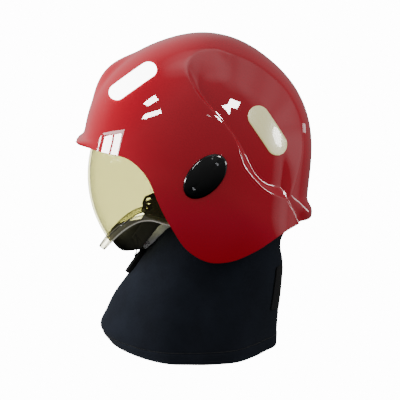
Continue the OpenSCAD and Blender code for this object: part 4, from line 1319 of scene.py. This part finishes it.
level = lit * (1 - direct) + direct * BACKDROP
ground = wire.node("Background", {"Color": (1, 1, 1, 1), "Strength": level})
wire.node("OutputWorld", {"Surface": ground})

# %% [markdown]
# Two lamps, one at the window's side and a weak one behind, light the colours. Each bright pane
# that the coat mirrors is a card of light that neither the camera nor a dull surface sees. Most
# cards are given by a foot, where a ray from the camera meets the shell, and by the bearings in
# which that ray goes on. The window is five cards on one plane, and the tail mirrors a ribbon.
# %% Light cards
def aim(piece, eye, target):
    piece.location = eye
    piece.rotation_mode = "QUATERNION"
    piece.rotation_quaternion = (Vector(target) - Vector(eye)).to_track_quat("-Z", "Y")


LAMPS_AWAY = 1.6
LAMPS_AIM = Vector((0, 0, 0.02))
for name, way, size, power in (("window_light", (-0.05, -1.0, 0.3), 0.9, 51),
                               ("wall_light", (0.1, 1.0, 0.4), 1.2, 7)):
    lamp = add_object(name, bpy.data.lights.new(name, "AREA"))
    lamp.data.shape = "RECTANGLE"
    lamp.data.size = lamp.data.size_y = size
    lamp.data.energy = power
    lamp.visible_glossy = False
    aim(lamp, LAMPS_AIM + Vector(way).normalized() * LAMPS_AWAY, LAMPS_AIM)


def light_card(name, corners, level):
    """A flat card through the corners, in metres, that only mirrors and clear plastic show."""
    wire = new_finish(name)
    glow = wire.node("Emission", {"Color": (1, 1, 1, 1), "Strength": level})
    wire.node("OutputMaterial", {"Surface": glow})
    bm = bmesh.new()
    bm.faces.new([bm.verts.new(corner) for corner in corners])
    card = mesh_object(bm, name, FINISHES[name])
    card.visible_camera = False
    card.visible_diffuse = False
    card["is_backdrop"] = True


CARD_AWAY = 0.9
CARDS = [
    ("pane_upper", (99, -60, 87), [(43.9, 36.9), (53.6, 45.1), (60.5, 40.6), (51.3, 35.5)], 110),
    ("pane_lower", (104, -60, 70), [(47.3, 25.6), (49.4, 29.5), (59.7, 32.7), (65.2, 34.1),
                                    (67.3, 30.8), (51.9, 26.0)], 110),
    ("pane_rear", (101, 32, 81), [(118, 38.9), (127.2, 36.1), (121, 31.4), (115.5, 31.8),
                                  (112.3, 26.5), (109.5, 30.5), (106.5, 32.7), (114, 34.6)], 110),
    ("pane_small", (112, 5, 69), [(94.3, 27.7), (98.2, 29.1), (99.4, 26.6), (96.9, 25.6)], 7),
    ("rear_window", (94, 78, 46), [(151, 15), (155, 21), (163, 16.5), (164.5, 12), (164.5, 5),
                                   (161, 4.5), (155, 8)], 48),
    ("rear_glint", (64, 121, 57), [(194.7, 15.4), (221.3, 10.2), (218.1, 6.4), (190.2, 10.5)], 3),
]
WINDOW_Y = -412
WINDOW = [
    ("window_left", [(64, 106), (149, 116.5), (150, 60), (66, 60)], 110),
    ("window_right", [(168, 119), (236, 134), (240, 118), (236, 100), (236, 60), (167, 60)], 110),
    ("window_top", [(43, 114), (99, 121), (158, 131.5), (218, 146), (269, 161), (256, 144),
                    (243, 137.5), (181, 123.5), (120, 115), (56, 108.5)], 14),
    ("window_side", [(248, 138), (262, 148), (252, 120), (246, 100), (246, 60), (241, 60),
                     (241, 100), (244.5, 118)], 14),
    ("window_edge", [(9, 60), (9, 103), (24, 108), (24, 60)], 60),
]
TAIL_LINE = [(79, 196, -33.5), (67, 196, -38), (43, 196, -36.5), (27, 196, -40), (9, 196, -45.5),
             (-16, 196, -52)]
TAIL_DROP = Vector((0, 0, 5))
tail_line = [Vector(place) for place in TAIL_LINE]
light_card("tail_window", [place * MM for place in tail_line]
           + [(place - TAIL_DROP) * MM for place in reversed(tail_line)], 7)
for name, foot, corners, level in CARDS:
    foot = Vector(foot) * MM
    light_card(name, [foot + bearing(*corner) * CARD_AWAY for corner in corners], level)
for name, corners, level in WINDOW:
    light_card(name, [Vector((x, WINDOW_Y, z)) * MM for x, z in corners], level)

# %% [markdown]
# The camera stands to the helmet's left, a little in front of its middle and slightly above it.
# %% Camera
LOOK_AT = Vector((0, 0.0013, -0.0318))
VIEW_FROM = Vector((0.997, -0.061, 0.0436)).normalized()
VIEW_AWAY = 1.1
camera = add_object("camera", bpy.data.cameras.new("camera"))
aim(camera, LOOK_AT + VIEW_FROM * VIEW_AWAY, LOOK_AT)
camera.data.lens = 77.9
camera.data.clip_start = 0.01
bpy.context.scene.camera = camera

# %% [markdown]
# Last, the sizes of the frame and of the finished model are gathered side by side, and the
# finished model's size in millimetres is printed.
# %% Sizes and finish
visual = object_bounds()
sizes = {"cad": [list(cad_box[0]), list(cad_box[1])],
         "visual": [list(visual[0]), list(visual[1])]}
print("size in mm:", [round((b - a) / MM) for a, b in zip(*sizes["visual"])])
